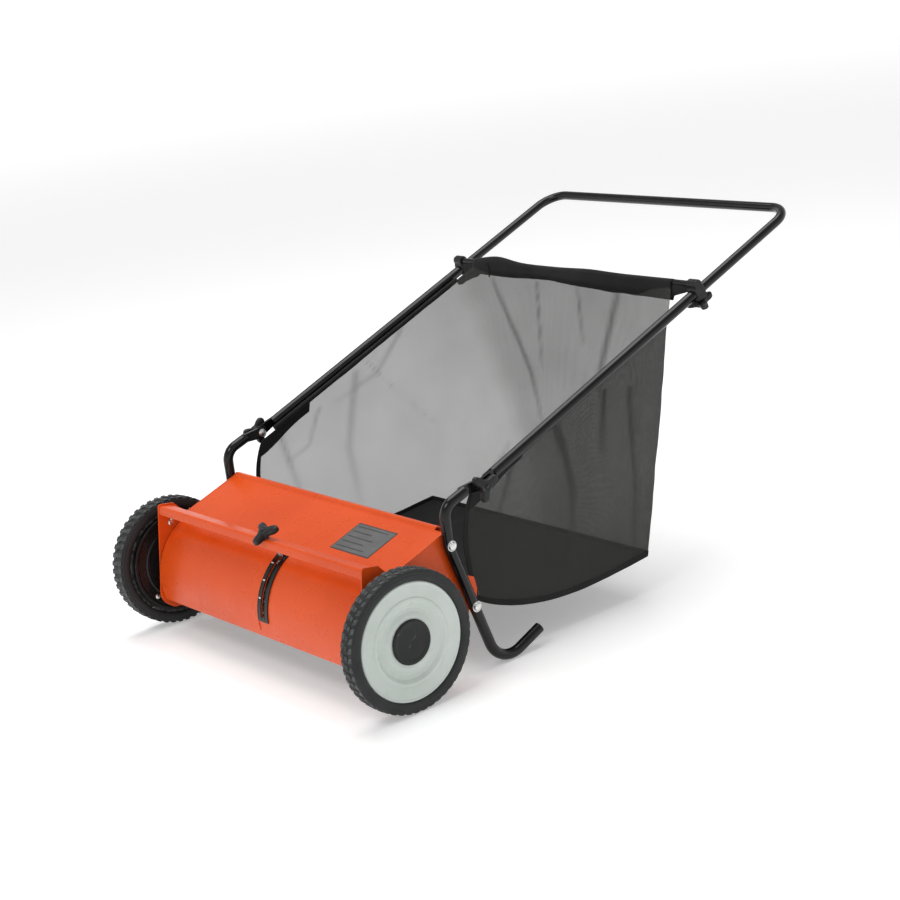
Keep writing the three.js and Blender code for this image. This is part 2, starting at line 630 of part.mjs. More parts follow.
// The rear panel narrows from the floor's width to the band that hangs over the crossbar.
function bagRear() {
  const low = [BAG_REAR_LOW[0] - 1, BAG_REAR_LOW[1] + 2 * CLOTH_T + GAP];
  const high = [CROSSBAR[0] + 1, CROSSBAR[1] - CROSSBAR_R - GAP - CLOTH_T / 2];
  const [run, rise] = [high[0] - low[0], high[1] - low[1]];
  const panel = new THREE.Shape();
  const length = Math.hypot(run, rise);
  panel.moveTo(-CLOTH_SPAN, 0);
  panel.lineTo(CLOTH_SPAN, 0);
  panel.lineTo(CLOTH_SPAN, length * 0.86);
  panel.lineTo(BAG_TOP_HALF, length);
  panel.lineTo(-BAG_TOP_HALF, length);
  panel.lineTo(-CLOTH_SPAN, length * 0.86);
  return new THREE.ExtrudeGeometry(panel, { depth: CLOTH_T, bevelEnabled: false })
    .translate(0, 0, -CLOTH_T / 2)
    .rotateX(Math.atan2(rise, run))
    .translate(0, ...low);
}

function sideRod(s) {
  const ends = [hemPoint(172, ROD_DROP), hemPoint(535, ROD_DROP)];
  return tube(inPlane(s * BAG_X, ends), ROD_R, 0, 10);
}

function frontRod() {
  return rod(ROD_R, -258, 258, [BAG_FRONT[0] + 9, BAG_FRONT[1] + 4], 10);
}

// ---- every piece -------------------------------------------------------------------------
add('top_panel', topPanel(), 'orange');
add('front_tie_bar', frontTieBar(), 'orange');
add('rear_tie_rod', rearTieRod(), 'zinc');
add('front_bolt', frontBolt(), 'zinc');
add('front_cover', frontCover(), 'orange');
add('slot_guide', slotGuide(), 'plastic');
add('front_knob', frontKnob(), 'plastic');
add('brush_shaft', brushShaft(), 'zinc');
add('brush_core', brushCore(), 'plastic');
for (let i = 0; i < BRUSH_ROWS; i += 1) add(`bristle_row_${i + 1}`, brushRow(i), 'bristle');
add('handle_grip', grip(), 'black');
add('hopper_crossbar', crossbar(), 'black');
add('hopper_front_rod', frontRod(), 'zinc');
add('hopper_floor', bagFloor(), 'cloth');
add('hopper_rear', bagRear(), 'mesh');
for (const [side, s] of SIDES) {
  add(`side_plate_${side}`, sidePlate(s), 'orange');
  add(`stub_axle_${side}`, stubAxle(s), 'zinc');
  add(`shaft_bearing_${side}`, shaftBearing(s), 'plastic');
  add(`gear_cover_${side}`, gearCover(s), 'plastic');
  add(`lower_tube_${side}`, lowerTube(s), 'black');
  add(`tube_bolt_upper_${side}`, tubeBolt(s, TUBE_BOLTS[0], SPAN - 3.1), 'zinc');
  add(`tube_bolt_lower_${side}`, tubeBolt(s, TUBE_BOLTS[1], SPAN - BRACKET_T - 3.3), 'zinc');
  add(`fold_bolt_${side}`, foldBolt(s), 'zinc');
  add(`hopper_bracket_${side}`, bagBracket(s), 'orange');
  add(`cover_arm_${side}`, coverArm(s), 'zinc');
  add(`pinion_${side}`, pinion(s), 'plastic');
  add(`tyre_${side}`, tyre(s), 'rubber');
  add(`rim_${side}`, rim(s), 'plastic');
  add(`wheel_disc_${side}`, wheelDisc(s), 'pale');
  add(`hub_cap_${side}`, hubCap(s), 'plastic');
  add(`handle_bar_${side}`, handleBar(s), 'black');
  add(`upper_clamp_${side}`, upperClamp(s), 'plastic');
  add(`fold_knob_${side}`, foldKnob(side, s), 'plastic');
  add(`clamp_knob_${side}`, clampKnob(side, s), 'plastic');
  add(`hopper_rod_${side}`, sideRod(s), 'black');
  add(`hopper_side_${side}`, bagSide(s), 'mesh');
}

// Tilt back about the axle until the outside of the hooks' bends touches the ground.
function parkingTilt() {
  const corners = inPlane(0, [HOOK_TIP, HOOK_VERTEX, TUBE_BOLTS[1]]);
  const into = new THREE.Vector3().subVectors(corners[1], corners[0]).normalize();
  const out = new THREE.Vector3().subVectors(corners[2], corners[1]).normalize();
  const side = new THREE.Vector3().subVectors(out, into).normalize();
  const centre = corners[1].clone().addScaledVector(side, HOOK_BEND / Math.cos(into.angleTo(out) / 2));
  const [back, down] = [centre.y - AXLE[0], AXLE[1] - centre.z];
  const drop = WHEEL_R - HOOK_BEND - TUBE_R;
  return Math.asin(drop / Math.hypot(back, down)) - Math.atan2(down, back);
}

const tilt = parkingTilt();
machine.rotation.x = -tilt;
machine.position.set(0, -AXLE[1] * Math.sin(tilt), AXLE[1] - AXLE[1] * Math.cos(tilt));

// The origin is on the ground, in the middle of the whole machine's length.
const sweeper = new THREE.Group();
sweeper.name = 'lawn_sweeper';
sweeper.add(machine);
machine.updateWorldMatrix(true, true);
const extent = new THREE.Box3().setFromObject(machine, true);
sweeper.position.set(0, -(extent.min.y + extent.max.y) / 2, -extent.min.z);

export default sweeper;
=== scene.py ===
"""A push lawn sweeper: orange sheet-steel housing, geared brush, treaded wheels, tube handle and a
see-through mesh hopper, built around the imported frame. Shapes are written in the machine's own
frame, in millimetres (x to the right, y from the wheel axle towards the handle, z up), and are
placed in the parked pose by one matrix that is worked out from the frame's joints."""
import json
from math import atan2, copysign, cos, exp, pi, radians, sin, sqrt, tan

import bpy
from mathutils import Euler, Matrix, Vector, noise


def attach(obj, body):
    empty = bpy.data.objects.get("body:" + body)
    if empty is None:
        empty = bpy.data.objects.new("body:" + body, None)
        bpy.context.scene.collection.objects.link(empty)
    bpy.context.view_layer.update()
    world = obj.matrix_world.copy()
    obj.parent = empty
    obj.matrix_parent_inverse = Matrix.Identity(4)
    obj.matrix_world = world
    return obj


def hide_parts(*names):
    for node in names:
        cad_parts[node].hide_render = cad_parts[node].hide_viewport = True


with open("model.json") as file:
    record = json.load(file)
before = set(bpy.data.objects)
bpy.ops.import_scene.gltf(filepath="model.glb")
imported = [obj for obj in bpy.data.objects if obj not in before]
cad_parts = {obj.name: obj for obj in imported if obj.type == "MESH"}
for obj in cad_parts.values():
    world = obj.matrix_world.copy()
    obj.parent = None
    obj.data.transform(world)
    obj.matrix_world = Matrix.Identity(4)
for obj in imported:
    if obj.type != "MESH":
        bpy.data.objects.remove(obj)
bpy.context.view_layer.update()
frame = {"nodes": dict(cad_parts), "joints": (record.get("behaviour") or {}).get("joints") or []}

# ---- driving dimensions, millimetres ------------------------------------------------------
AXLE = (0, 101.6)
BRUSH = (sqrt(52.5 ** 2 - 8.6 ** 2), 93)
PIVOT = (149, 293)
SLOPE = radians(30.3)
TUBE_R, TUBE_WALL = 8, 1.3
TUBE_X = 279.8
PLATE_X = 270
PLATE_T = 2.4
GAP = 0.3  # the clearance between neighbouring solids
SPAN = PLATE_X - PLATE_T / 2 - GAP
WHEEL_IN = 293.5
WHEEL_W = 30
WHEEL_R = 101.6
COVER_R = 98
COVER_T = 1.2
GUIDE_X = 27
GUIDE_HALF = 13
SLOT_HALF = 4
KNOB_ANGLE = radians(129.5)
KNOB_SEAT = 142
HOOK_TIP, HOOK_VERTEX, HOOK_BEND = (261, 71), (187.4, 24), 41
TUBE_BOLTS = ((94.2, 214.9), (138.7, 121.9))
NECK_CORNER, NECK_BEND = (86, 268), 24
LOWER_TAB_SLOPE = radians(12)
TAB_REACH, TAB_R, TAB_T = 27, 9, 5
CLAMP_Y = 565
CLAMP_BASE = -11
CROSSBAR_R = 5
CORNER_Y = 765
BAG_X = 267.8
ROD_X = 268
FRONT_ROD = (165, 131)
TIE_ROD, TIE_ROD_R = (147.5, 130), 4.5
ROD_DROP = 4
ROD_R = 3
SIDES = (("left", -1), ("right", 1))
PANEL_T = 1.5
PANEL_LOW, PANEL_HIGH = (6, 184), (90, 228.5)
LIP_END = 251
HORN_BOLT = (-25.5, 171)
COVER_ARC, SLOT_ARC, GUIDE_ARC = (122, 206), (127, 186), (120, 190)
TICK_ANGLES = (138.6, 154.6, 169.7)
ARM_REACH, ARM_HALF, HUB_R = 24, 4.7, 8.8
FOLD_ARM = {"left": 62, "right": -90}
CLAMP_ARM = {"left": 90, "right": 30}
FRONT_ARM = 32
FOLD_KNOB_X = 285.4
NUT_SEATS = (265.4, 262.1)
LUGS, TREAD_LOW = 48, 100
AXLE_REACH, SHAFT_REACH = 24, 14.5  # past the wheels' inner faces
BRISTLE_TIP = 80.4
BRISTLE_ROWS, TUFTS, STRANDS = 4, 62, 11
LABEL = (103, 195, 13.5, 74)
MESH_PITCH = 0.0016
CAMERA_AT = (2395.9, -1563.1, 823.9)
CAMERA_TURN = (79.957, 0, 51.888)  # degrees about x, y and z
FLOOR_REACH = 40  # metres
CORE = 0.01  # the radius that stands for the axis in a turned outline


def joint_at(name):
    return Vector(next(j for j in frame["joints"] if j["name"] == name)["pos_m"])


axle_at = joint_at("left_wheel_spin")
axle_at.x = 0
arm = joint_at("handle_fold") - axle_at
TILT = atan2(PIVOT[1] - AXLE[1], PIVOT[0] - AXLE[0]) - atan2(arm.z, arm.y)
MM = 0.001
TO_FRAME = (Matrix.Translation(axle_at) @ Matrix.Rotation(-TILT, 4, "X")
            @ Matrix.Translation((0, -AXLE[0] * MM, -AXLE[1] * MM)) @ Matrix.Scale(MM, 4))


def on_handle(y, drop=0):
    """A (y, z) point on the handle's centre line, or a distance square below it."""
    z = PIVOT[1] + (y - PIVOT[0]) * tan(SLOPE)
    return y + drop * sin(SLOPE), z - drop * cos(SLOPE)


def polar(centre, radius, angle):
    return centre[0] + radius * cos(angle), centre[1] + radius * sin(angle)


# ---- materials ------------------------------------------------------------------------------
class Shader:
    """A Principled material with short calls for the nodes that drive it."""

    def __init__(self, name, **sockets):
        self.material = bpy.data.materials.new(name)
        self.material.use_nodes = True
        self.tree = self.material.node_tree
        self.bsdf = self.tree.nodes["Principled BSDF"]
        self.coords = self.tree.nodes.new("ShaderNodeTexCoord").outputs["Object"]
        for socket, value in sockets.items():
            self.bsdf.inputs[socket.replace("_", " ")].default_value = value

    def node(self, kind, inputs=None, **settings):
        made = self.tree.nodes.new("ShaderNode" + kind)
        for key, value in settings.items():
            setattr(made, key, value)
        for key, value in (inputs or {}).items():
            if isinstance(value, bpy.types.NodeSocket):
                self.tree.links.new(value, made.inputs[key])
            else:
                made.inputs[key].default_value = value
        return made

    def noise(self, scale, detail=4, rough=0.5):
        return self.node("TexNoise", {"Vector": self.coords, "Scale": scale, "Detail": detail,
                                      "Roughness": rough}).outputs["Fac"]

    def ramp(self, value, low, high, to_low=0, to_high=1):
        return self.node("MapRange", {"Value": value, "From Min": low, "From Max": high,
                                      "To Min": to_low, "To Max": to_high}).outputs["Result"]

    def maths(self, operation, a, b=0, clamp=False):
        return self.node("Math", {0: a, 1: b}, operation=operation, use_clamp=clamp).outputs[0]

    def times(self, a, b, clamp=False):
        return self.maths("MULTIPLY", a, b, clamp)

    def plus(self, a, b, clamp=False):
        return self.maths("ADD", a, b, clamp)

    def mix(self, share, a, b):
        made = self.node("Mix", {"Factor": share}, data_type="RGBA")
        for key, value in (("A", a), ("B", b)):
            socket = [i for i in made.inputs if i.name == key and i.type == "RGBA"][0]
            if isinstance(value, bpy.types.NodeSocket):
                self.tree.links.new(value, socket)
            else:
                socket.default_value = (*value, 1)
        return [o for o in made.outputs if o.type == "RGBA"][0]

    def set(self, socket, value):
        self.tree.links.new(value, self.bsdf.inputs[socket])

    def bump(self, height, strength, distance):
        made = self.node("Bump", {"Height": height, "Strength": strength, "Distance": distance})
        self.set("Normal", made.outputs["Normal"])

    def edges(self, low=0.51, high=0.58):
        """About 1 on sharp convex edges and 0 on flat ground."""
        return self.ramp(self.node("NewGeometry").outputs["Pointiness"], low, high)


def grey(level):
    return level, level, level


def painted(name, deep, bright, rough, coat, wear):
    """Gloss paint over steel: slow colour drift, orange peel, dust and rubbed edges."""
    s = Shader(name, Coat_Weight=coat, Coat_Roughness=0.1, IOR=1.5, Specular_IOR_Level=0.2)
    drift = s.noise(6, 3)
    colour = s.mix(s.ramp(drift, 0.35, 0.65), deep, bright)
    dust = s.ramp(s.noise(60, 6, 0.65), 0.55, 0.8, 0, 0.3)
    colour = s.mix(s.times(dust, 0.06), colour, (0.45, 0.4, 0.34))
    chips = s.times(s.edges(), s.ramp(s.noise(220, 3), 0.5, 0.68), clamp=True)
    colour = s.mix(s.times(chips, wear), colour, (0.3, 0.29, 0.28))
    s.set("Base Color", colour)
    s.set("Roughness", s.ramp(s.noise(35, 5), 0.3, 0.75, rough - 0.04, rough + 0.1))
    peel = s.plus(s.noise(140, 1), s.times(s.noise(25, 2), 0.6))
    s.bump(peel, 0.05, 0.0005)
    return s.material


def moulded(name, deep, bright, rough, depth=0.25, scuffs=0.25):
    """Moulded plastic or rubber: fine grain, uneven gloss and pale scuffs on the edges."""
    s = Shader(name, IOR=1.48, Specular_IOR_Level=0.3)
    colour = s.mix(s.ramp(s.noise(14, 5), 0.35, 0.7), deep, bright)
    patches = s.ramp(s.noise(150, 4), 0.45, 0.65)
    scuff = s.times(s.edges(0.52, 0.62), patches, clamp=True)
    colour = s.mix(s.times(scuff, scuffs), colour, (0.35, 0.35, 0.34))
    s.set("Base Color", colour)
    s.set("Roughness", s.ramp(s.noise(45, 5, 0.6), 0.3, 0.7, rough - 0.07, rough + 0.09))
    s.bump(s.noise(900, 3, 0.6), depth, 0.0004)
    return s.material


def plated(name, tint, rough):
    """Zinc-plated steel with the faint cloudy bloom of the plating."""
    s = Shader(name, Metallic=1)
    cloud = s.ramp(s.noise(90, 5, 0.6), 0.3, 0.7)
    s.set("Base Color", s.mix(cloud, tuple(c * 0.78 for c in tint), tint))
    s.set("Roughness", s.ramp(s.noise(260, 3), 0.3, 0.7, rough - 0.08, rough + 0.12))
    s.bump(s.noise(700, 2), 0.15, 0.0003)
    return s.material


def threads(s, pitch):
    """Threads along each axis of the UV map, which is in metres: 1 on a thread and 0 in a hole."""
    parts = s.node("SeparateXYZ", {"Vector": s.node("TexCoord").outputs["UV"]})
    made = []
    for axis in ("X", "Y"):
        phase = s.times(parts.outputs[axis], 2 * pi / pitch)
        made.append(s.maths("MULTIPLY_ADD", s.maths("SINE", phase), 0.5))
        made[-1].node.inputs[2].default_value = 0.5
    return made


def see_through(name):
    """Fine grey-black polyester mesh. The shade layer is painted shade, partly doubled cloth in folds: it
    closes the mesh up and darkens it.
    """
    s = Shader(name, Roughness=0.8, Specular_IOR_Level=0.2)
    weave = s.maths("MAXIMUM", *threads(s, MESH_PITCH))
    shade = s.node("Attribute", attribute_name="shade").outputs["Fac"]
    cloud = s.ramp(s.noise(9, 4), 0.3, 0.7, -0.02, 0.02)
    cover = s.plus(s.ramp(weave, 0.25, 1, 0.50, 0.80), cloud)
    # Painted shade: the shade layer makes the mesh more opaque and its threads darker.
    s.set("Alpha", s.plus(cover, s.times(shade, 0.34), clamp=True))
    colour = s.mix(weave, (0.014, 0.0145, 0.013), (0.045, 0.045, 0.042))
    s.set("Base Color", s.mix(s.ramp(shade, 0, 1, 0, 0.6), colour, grey(0.010)))
    s.bump(weave, 0.35, 0.0004)
    return s.material


def woven(name, deep, bright, pitch):
    """Close black woven cloth, with slubs and a dusty bloom."""
    s = Shader(name, Sheen_Weight=0.04, Sheen_Roughness=0.4, Specular_IOR_Level=0.25)
    over = s.times(*threads(s, pitch))
    slub = s.ramp(s.noise(60, 5), 0.3, 0.7)
    bloom = s.ramp(s.noise(7, 4), 0.35, 0.75, 0, 0.5)
    colour = s.mix(s.times(over, slub), deep, bright)
    s.set("Base Color", s.mix(s.times(bloom, 0.2), colour, (0.05, 0.05, 0.049)))
    s.set("Roughness", s.ramp(s.noise(30, 4), 0.3, 0.7, 0.72, 0.92))
    s.bump(over, 0.5, 0.0004)
    return s.material


def bristles(name):
    s = Shader(name, Roughness=0.5)
    tone = s.noise(900, 2)
    s.set("Base Color", s.mix(s.ramp(tone, 0.35, 0.65), grey(0.012), (0.06, 0.058, 0.055)))
    s.set("Roughness", s.ramp(tone, 0.3, 0.7, 0.4, 0.65))
    return s.material


def tread_rubber(name):
    """Tyre rubber: dull black, with road dust on the crowns of the tread blocks."""
    s = Shader(name, IOR=1.45)
    crown = s.node("Attribute", attribute_name="crown").outputs["Fac"]
    dust = s.times(crown, s.ramp(s.noise(70, 5, 0.65), 0.3, 0.62))
    colour = s.mix(s.ramp(s.noise(25, 5), 0.3, 0.7), (0.008, 0.009, 0.0095), (0.02, 0.021, 0.022))
    s.set("Base Color", s.mix(s.times(dust, 0.55), colour, (0.12, 0.13, 0.13)))
    s.set("Roughness", s.ramp(s.noise(50, 5), 0.3, 0.7, 0.5, 0.72))
    s.bump(s.noise(650, 4, 0.6), 0.35, 0.0005)
    return s.material


def print_ink(name, colour, rough):
    s = Shader(name)
    drift = s.ramp(s.noise(40, 5), 0.3, 0.7)
    s.set("Base Color", s.mix(drift, tuple(c * 0.8 for c in colour), colour))
    s.set("Roughness", s.ramp(s.noise(120, 4), 0.3, 0.7, rough - 0.1, rough + 0.1))
    s.bump(s.noise(500, 2), 0.1, 0.0002)
    return s.material


# Each look is a slot name of the record and the piece's material.
ORANGE = "orange_paint", painted("orange_gloss_paint", (0.67, 0.072, 0.007), (0.75, 0.088, 0.011),
                                 0.28, 0.08, 0.1)
BLACK_PAINT = "black_paint", painted("black_gloss_paint", (0.003, 0.003, 0.0032), (0.006, 0.006, 0.0062),
                                     0.16, 0.3, 0)
PLASTIC = "black_plastic", moulded("black_plastic", (0.009, 0.0095, 0.0095), (0.017, 0.018, 0.018), 0.42)
GLOSS_PLASTIC = "black_plastic", moulded("black_gloss_plastic", grey(0.006), grey(0.012), 0.24, depth=0.1)
PALE = "pale_plastic", moulded("pale_wheel_plastic", (0.52, 0.575, 0.535), (0.61, 0.655, 0.62), 0.3,
                               depth=0.12, scuffs=0.1)
ZINC = "zinc_plate", plated("zinc_plate", (0.78, 0.78, 0.76), 0.28)
RUBBER = "tyre_rubber", tread_rubber("tyre_rubber")
MESH_CLOTH = "mesh_fabric", see_through("hopper_mesh")
BLACK_CLOTH = "black_fabric", woven("black_woven_cloth", grey(0.006), grey(0.020), 0.0011)
TAPE = "black_fabric", woven("hem_tape", grey(0.007), grey(0.024), MESH_PITCH)
BRISTLE = "bristle_nylon", bristles("bristle_nylon")
WHITE_PRINT = "pale_plastic", print_ink("white_print", (0.75, 0.75, 0.72), 0.5)
PRINT_DARK = "black_plastic", print_ink("label_dark_print", (0.03, 0.032, 0.03), 0.5)
PRINT_GREY = "pale_plastic", print_ink("label_grey_print", (0.115, 0.118, 0.116), 0.4)


# ---- mesh helpers ---------------------------------------------------------------------------
def place(name, data):
    made = bpy.data.objects.new(name, data)
    bpy.context.scene.collection.objects.link(made)
    return made


def piece(name, body, look, shape, nodes=(), sharp=32, bevel=0, steps=2, subdivide=0, uv=None,
          layers=None, thickness=0):
    """A finished piece from a shape (points in the machine's frame, and faces) and a look (slot name, which
    is not used, and material); nodes are the CAD nodes it stands for."""
    slot_name, material = look
    verts, faces = shape
    mesh = bpy.data.meshes.new(name)
    mesh.from_pydata([TO_FRAME @ Vector(v) for v in verts], [], faces)
    mesh.validate()
    mesh.polygons.foreach_set("use_smooth", [True] * len(mesh.polygons))
    mesh.set_sharp_from_angle(angle=radians(sharp))
    if uv is not None:
        layer = mesh.uv_layers.new(name="weave")
        for loop in mesh.loops:
            layer.data[loop.index].uv = uv[loop.vertex_index]
    for layer_name, values in (layers or {}).items():
        attribute = mesh.attributes.new(layer_name, "FLOAT", "POINT")
        attribute.data.foreach_set("value", values)
    mesh.materials.append(material)
    made = place(name, mesh)

    def modify(kind, **settings):
        modifier = made.modifiers.new(kind.lower(), kind)
        for key, value in settings.items():
            setattr(modifier, key, value)
    if thickness:
        modify("SOLIDIFY", thickness=thickness * MM, offset=0)
    if bevel:
        modify("BEVEL", width=bevel * MM, segments=steps, limit_method="ANGLE", angle_limit=radians(sharp),
               harden_normals=True)
    if subdivide:
        modify("SUBSURF", levels=subdivide, render_levels=subdivide)
    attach(made, body)
    if nodes:
        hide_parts(*([nodes] if isinstance(nodes, str) else nodes))
    return made


def fillet(points, radius, steps=5, closed=False):
    """A 2D or 3D line of points with its corners turned into arcs; radius may be one per corner."""
    points = [Vector(p) for p in points]
    count = len(points)
    result = []
    for i, corner in enumerate(points):
        r = radius[i] if hasattr(radius, "__len__") else radius
        if r <= 0 or (not closed and i in (0, count - 1)):
            result.append(corner)
            continue
        before, after = points[i - 1] - corner, points[(i + 1) % count] - corner
        room = 0.49 * min(before.length, after.length)
        before.normalize()
        after.normalize()
        angle = before.angle(after)
        if angle > pi - 0.02:
            result.append(corner)
            continue
        reach = min(r / tan(angle / 2), room)
        r = reach * tan(angle / 2)
        bisector = (before + after).normalized()
        centre = corner + bisector * (r / sin(angle / 2))
        start, end = corner + before * reach - centre, corner + after * reach - centre
        turn = pi - angle
        for k in range(steps + 1):
            t = k / steps
            spoke = (start * sin((1 - t) * turn) + end * sin(t * turn)) / sin(turn)
            result.append(centre + spoke)
    return result


def loft(rings, closed_rings=True, closed_path=False, caps=True):
    """Faces through rings of equal length; caps close the first and the last ring."""
    verts = [v for ring in rings for v in ring]
    n, m = len(rings[0]), len(rings)
    faces = []
    for i in range(m if closed_path else m - 1):
        for j in range(n if closed_rings else n - 1):
            a, b = i * n + j, i * n + (j + 1) % n
            c, d = ((i + 1) % m) * n + (j + 1) % n, ((i + 1) % m) * n + j
            faces.append((a, b, c, d))
    if caps and closed_rings and not closed_path:
        faces.append(tuple(reversed(range(n))))
        faces.append(tuple(range((m - 1) * n, m * n)))
    return verts, faces


def turned(profile, centre, segments=96, flip=1):
    """Faces of a closed (radius, x) outline turned about an x-wise line through centre (y, z)."""
    rings = [[(flip * x, *polar(centre, r, a)) for r, x in profile] for a in spread(segments)]
    return loft(rings, closed_path=True, caps=False)


def axle_piece(name, body, look, profile, centre, s, nodes=(), segments=96, soft=0.8, **more):
    """A turned piece on one side: profile is (radius, |x|), closed on the axis or on itself."""
    line = fillet([(max(r, 0.01), x) for r, x in profile], soft, 3, closed=True)
    piece(name, body, look, turned(flat2(line), centre, segments, s), nodes, **more)


def frames_along(path):
    """Two cross vectors at each point of a 3D path, without twist."""
    tangents = []
    for i in range(len(path)):
        a, b = path[max(i - 1, 0)], path[min(i + 1, len(path) - 1)]
        tangents.append((b - a).normalized())
    side = tangents[0].orthogonal().normalized()
    pairs = []
    for i, t in enumerate(tangents):
        side = (side - t * side.dot(t)).normalized()
        pairs.append((side.copy(), t.cross(side)))
    return pairs


def spread(count):
    """The angles of a full turn in equal steps."""
    return [2 * pi * k / count for k in range(count)]


def tube_mesh(path, radius, wall=0, sides=24):
    """A round bar, or an open-ended tube where wall is given, along a path."""
    path = [Vector(p) for p in path]
    crossing = frames_along(path)

    def rings(r):
        return [[p + r * (u * cos(a) + v * sin(a)) for a in spread(sides)]
                for p, (u, v) in zip(path, crossing)]
    if not wall:
        return loft(rings(radius))
    return loft(rings(radius) + rings(radius - wall)[::-1], closed_path=True, caps=False)


def extruded(outline, x0, x1, columns=1):
    """A (y, z) outline pushed along x."""
    rings = [[(x0 + (x1 - x0) * k / columns, y, z) for y, z in outline] for k in range(columns + 1)]
    return loft(rings)


def strip_outline(line, thickness):
    """The closed outline of a sheet of one thickness along an open (y, z) line."""
    one, other = [], []
    for i, point in enumerate(line):
        a, b = Vector(line[max(i - 1, 0)]), Vector(line[min(i + 1, len(line) - 1)])
        along = (b - a).normalized()
        normal = Vector((-along.y, along.x)) * thickness / 2
        one.append((point[0] + normal.x, point[1] + normal.y))
        other.append((point[0] - normal.x, point[1] - normal.y))
    return one + other[::-1]


def merged(*parts):
    verts, faces = [], []
    for part_verts, part_faces in parts:
        base = len(verts)
        verts.extend(part_verts)
        faces.extend(tuple(i + base for i in face) for face in part_faces)
    return verts, faces


def flat2(points):
    return [(p[0], p[1]) for p in points]


def placed(matrix, shape):
    return [matrix @ Vector(v) for v in shape[0]], shape[1]


def stadium(centre, radius, far, half):
    """A round-ended tab outline in (y, z): round about centre, square at far."""
    c, f = Vector(centre), Vector(far)
    away = (c - f).normalized()
    across = Vector((-away.y, away.x))
    turns = [-pi / 2 + pi * k / 12 for k in range(13)]
    arc = [c + radius * (away * cos(a) + across * sin(a)) for a in turns]
    return flat2([f - across * half] + arc + [f + across * half])


# ---- housing --------------------------------------------------------------------------------
def bent_sheet(name, line, thickness, x1, bend, node):
    path = flat2(fillet(line, bend, 6))
    shape = extruded(strip_outline(path, thickness), -SPAN, x1, 12)
    piece(name, "housing", ORANGE, shape, node, bevel=0.35)


def side_plate(side, s):
    outline = fillet([(-47, 201), (-46, 95), (-46, 48), (-22, 34), (96, 40), (126, 46), (130, 74),
                      (138, 112), (134, 134), (101, 233), (93, 231.5), (2, 183), (-20, 201)],
                     [5, 60, 44, 14, 20, 20, 14, 20, 26, 4, 4, 12, 4], 6, closed=True)
    shape = extruded(flat2(outline), s * (PLATE_X - PLATE_T / 2), s * (PLATE_X + PLATE_T / 2))
    piece(f"side_sheet_{side}", "housing", ORANGE, shape, f"side_plate_{side}", bevel=0.6, steps=3)
    head = [(CORE, 265.2), (4.2, 265.4), (5.4, 266.6), (5.6, 268.4), (CORE, 268.4)]
    tail = [(CORE, 274), (4, 273.6), (4.6, 271.4), (CORE, 271.4)]
    shape = merged(turned(head, HORN_BOLT, 32, s), turned(tail, HORN_BOLT, 32, s))
    piece(f"horn_bolt_{side}", "housing", ZINC, shape)


def bracket(side, s):
    outline = fillet([(120, 108), (134, 110), (153, 120), (154.5, 142), (149, 160), (139, 163), (122, 150)],
                     4, 4, closed=True)
    shape = extruded(flat2(outline), s * (SPAN - 3), s * SPAN)
    piece(f"bracket_{side}", "housing", ORANGE, shape, f"hopper_bracket_{side}", bevel=0.5)


def housing_sheets():
    lip = [(104, 225.5), (104.2, 231.5), (101.5, 235), (95.2, 235.2), (93, 232.6), (92.6, 230.4)]
    bent_sheet("top_sheet", [(92.6, 231), PANEL_HIGH, PANEL_LOW], PANEL_T, SPAN, 2, "top_panel")
    bent_sheet("rear_lip", lip, PANEL_T, LIP_END, 2.2, "top_panel")
    bent_sheet("tie_bar_sheet", [(-24, 196.5), (-44.5, 197.5), (-44.5, 185)], 2, SPAN, 3, "front_tie_bar")
    for side, s in SIDES:
        side_plate(side, s)
        bracket(side, s)


def arc_line(radius, start, end, steps):
    return [polar(BRUSH, radius, radians(start + (end - start) * k / steps)) for k in range(steps + 1)]


def front_cover():
    """The curved cover, its turned-in lower lip, the clamp bolt's slot and the bead beside it."""
    half = SPAN - 2
    middle = COVER_R + COVER_T / 2
    lip = polar(BRUSH, COVER_R - 8, radians(205))

    def section(start, steps):
        line = arc_line(middle, start, COVER_ARC[1], steps)
        return strip_outline(line[:-2] + flat2(fillet([line[-2], line[-1], lip], 2, 4)), COVER_T)
    slot = (GUIDE_X - SLOT_HALF, GUIDE_X + SLOT_HALF)
    spans = ((-half, slot[0]), (slot[1], half))
    parts = [extruded(section(COVER_ARC[0], 72), x0, x1, 10) for x0, x1 in spans]
    parts.append(extruded(strip_outline(arc_line(middle, COVER_ARC[0], SLOT_ARC[0], 8), COVER_T), *slot))
    parts.append(extruded(section(SLOT_ARC[1], 16), *slot))
    piece("cover_sheet", "cover", ORANGE, merged(*parts), "front_cover", sharp=30)
    bead = strip_outline(arc_line(COVER_R + COVER_T + 0.6, 123, 199, 60), 1.3)
    piece("cover_bead", "cover", ORANGE, extruded(bead, 5, 13.4), bevel=0.5)


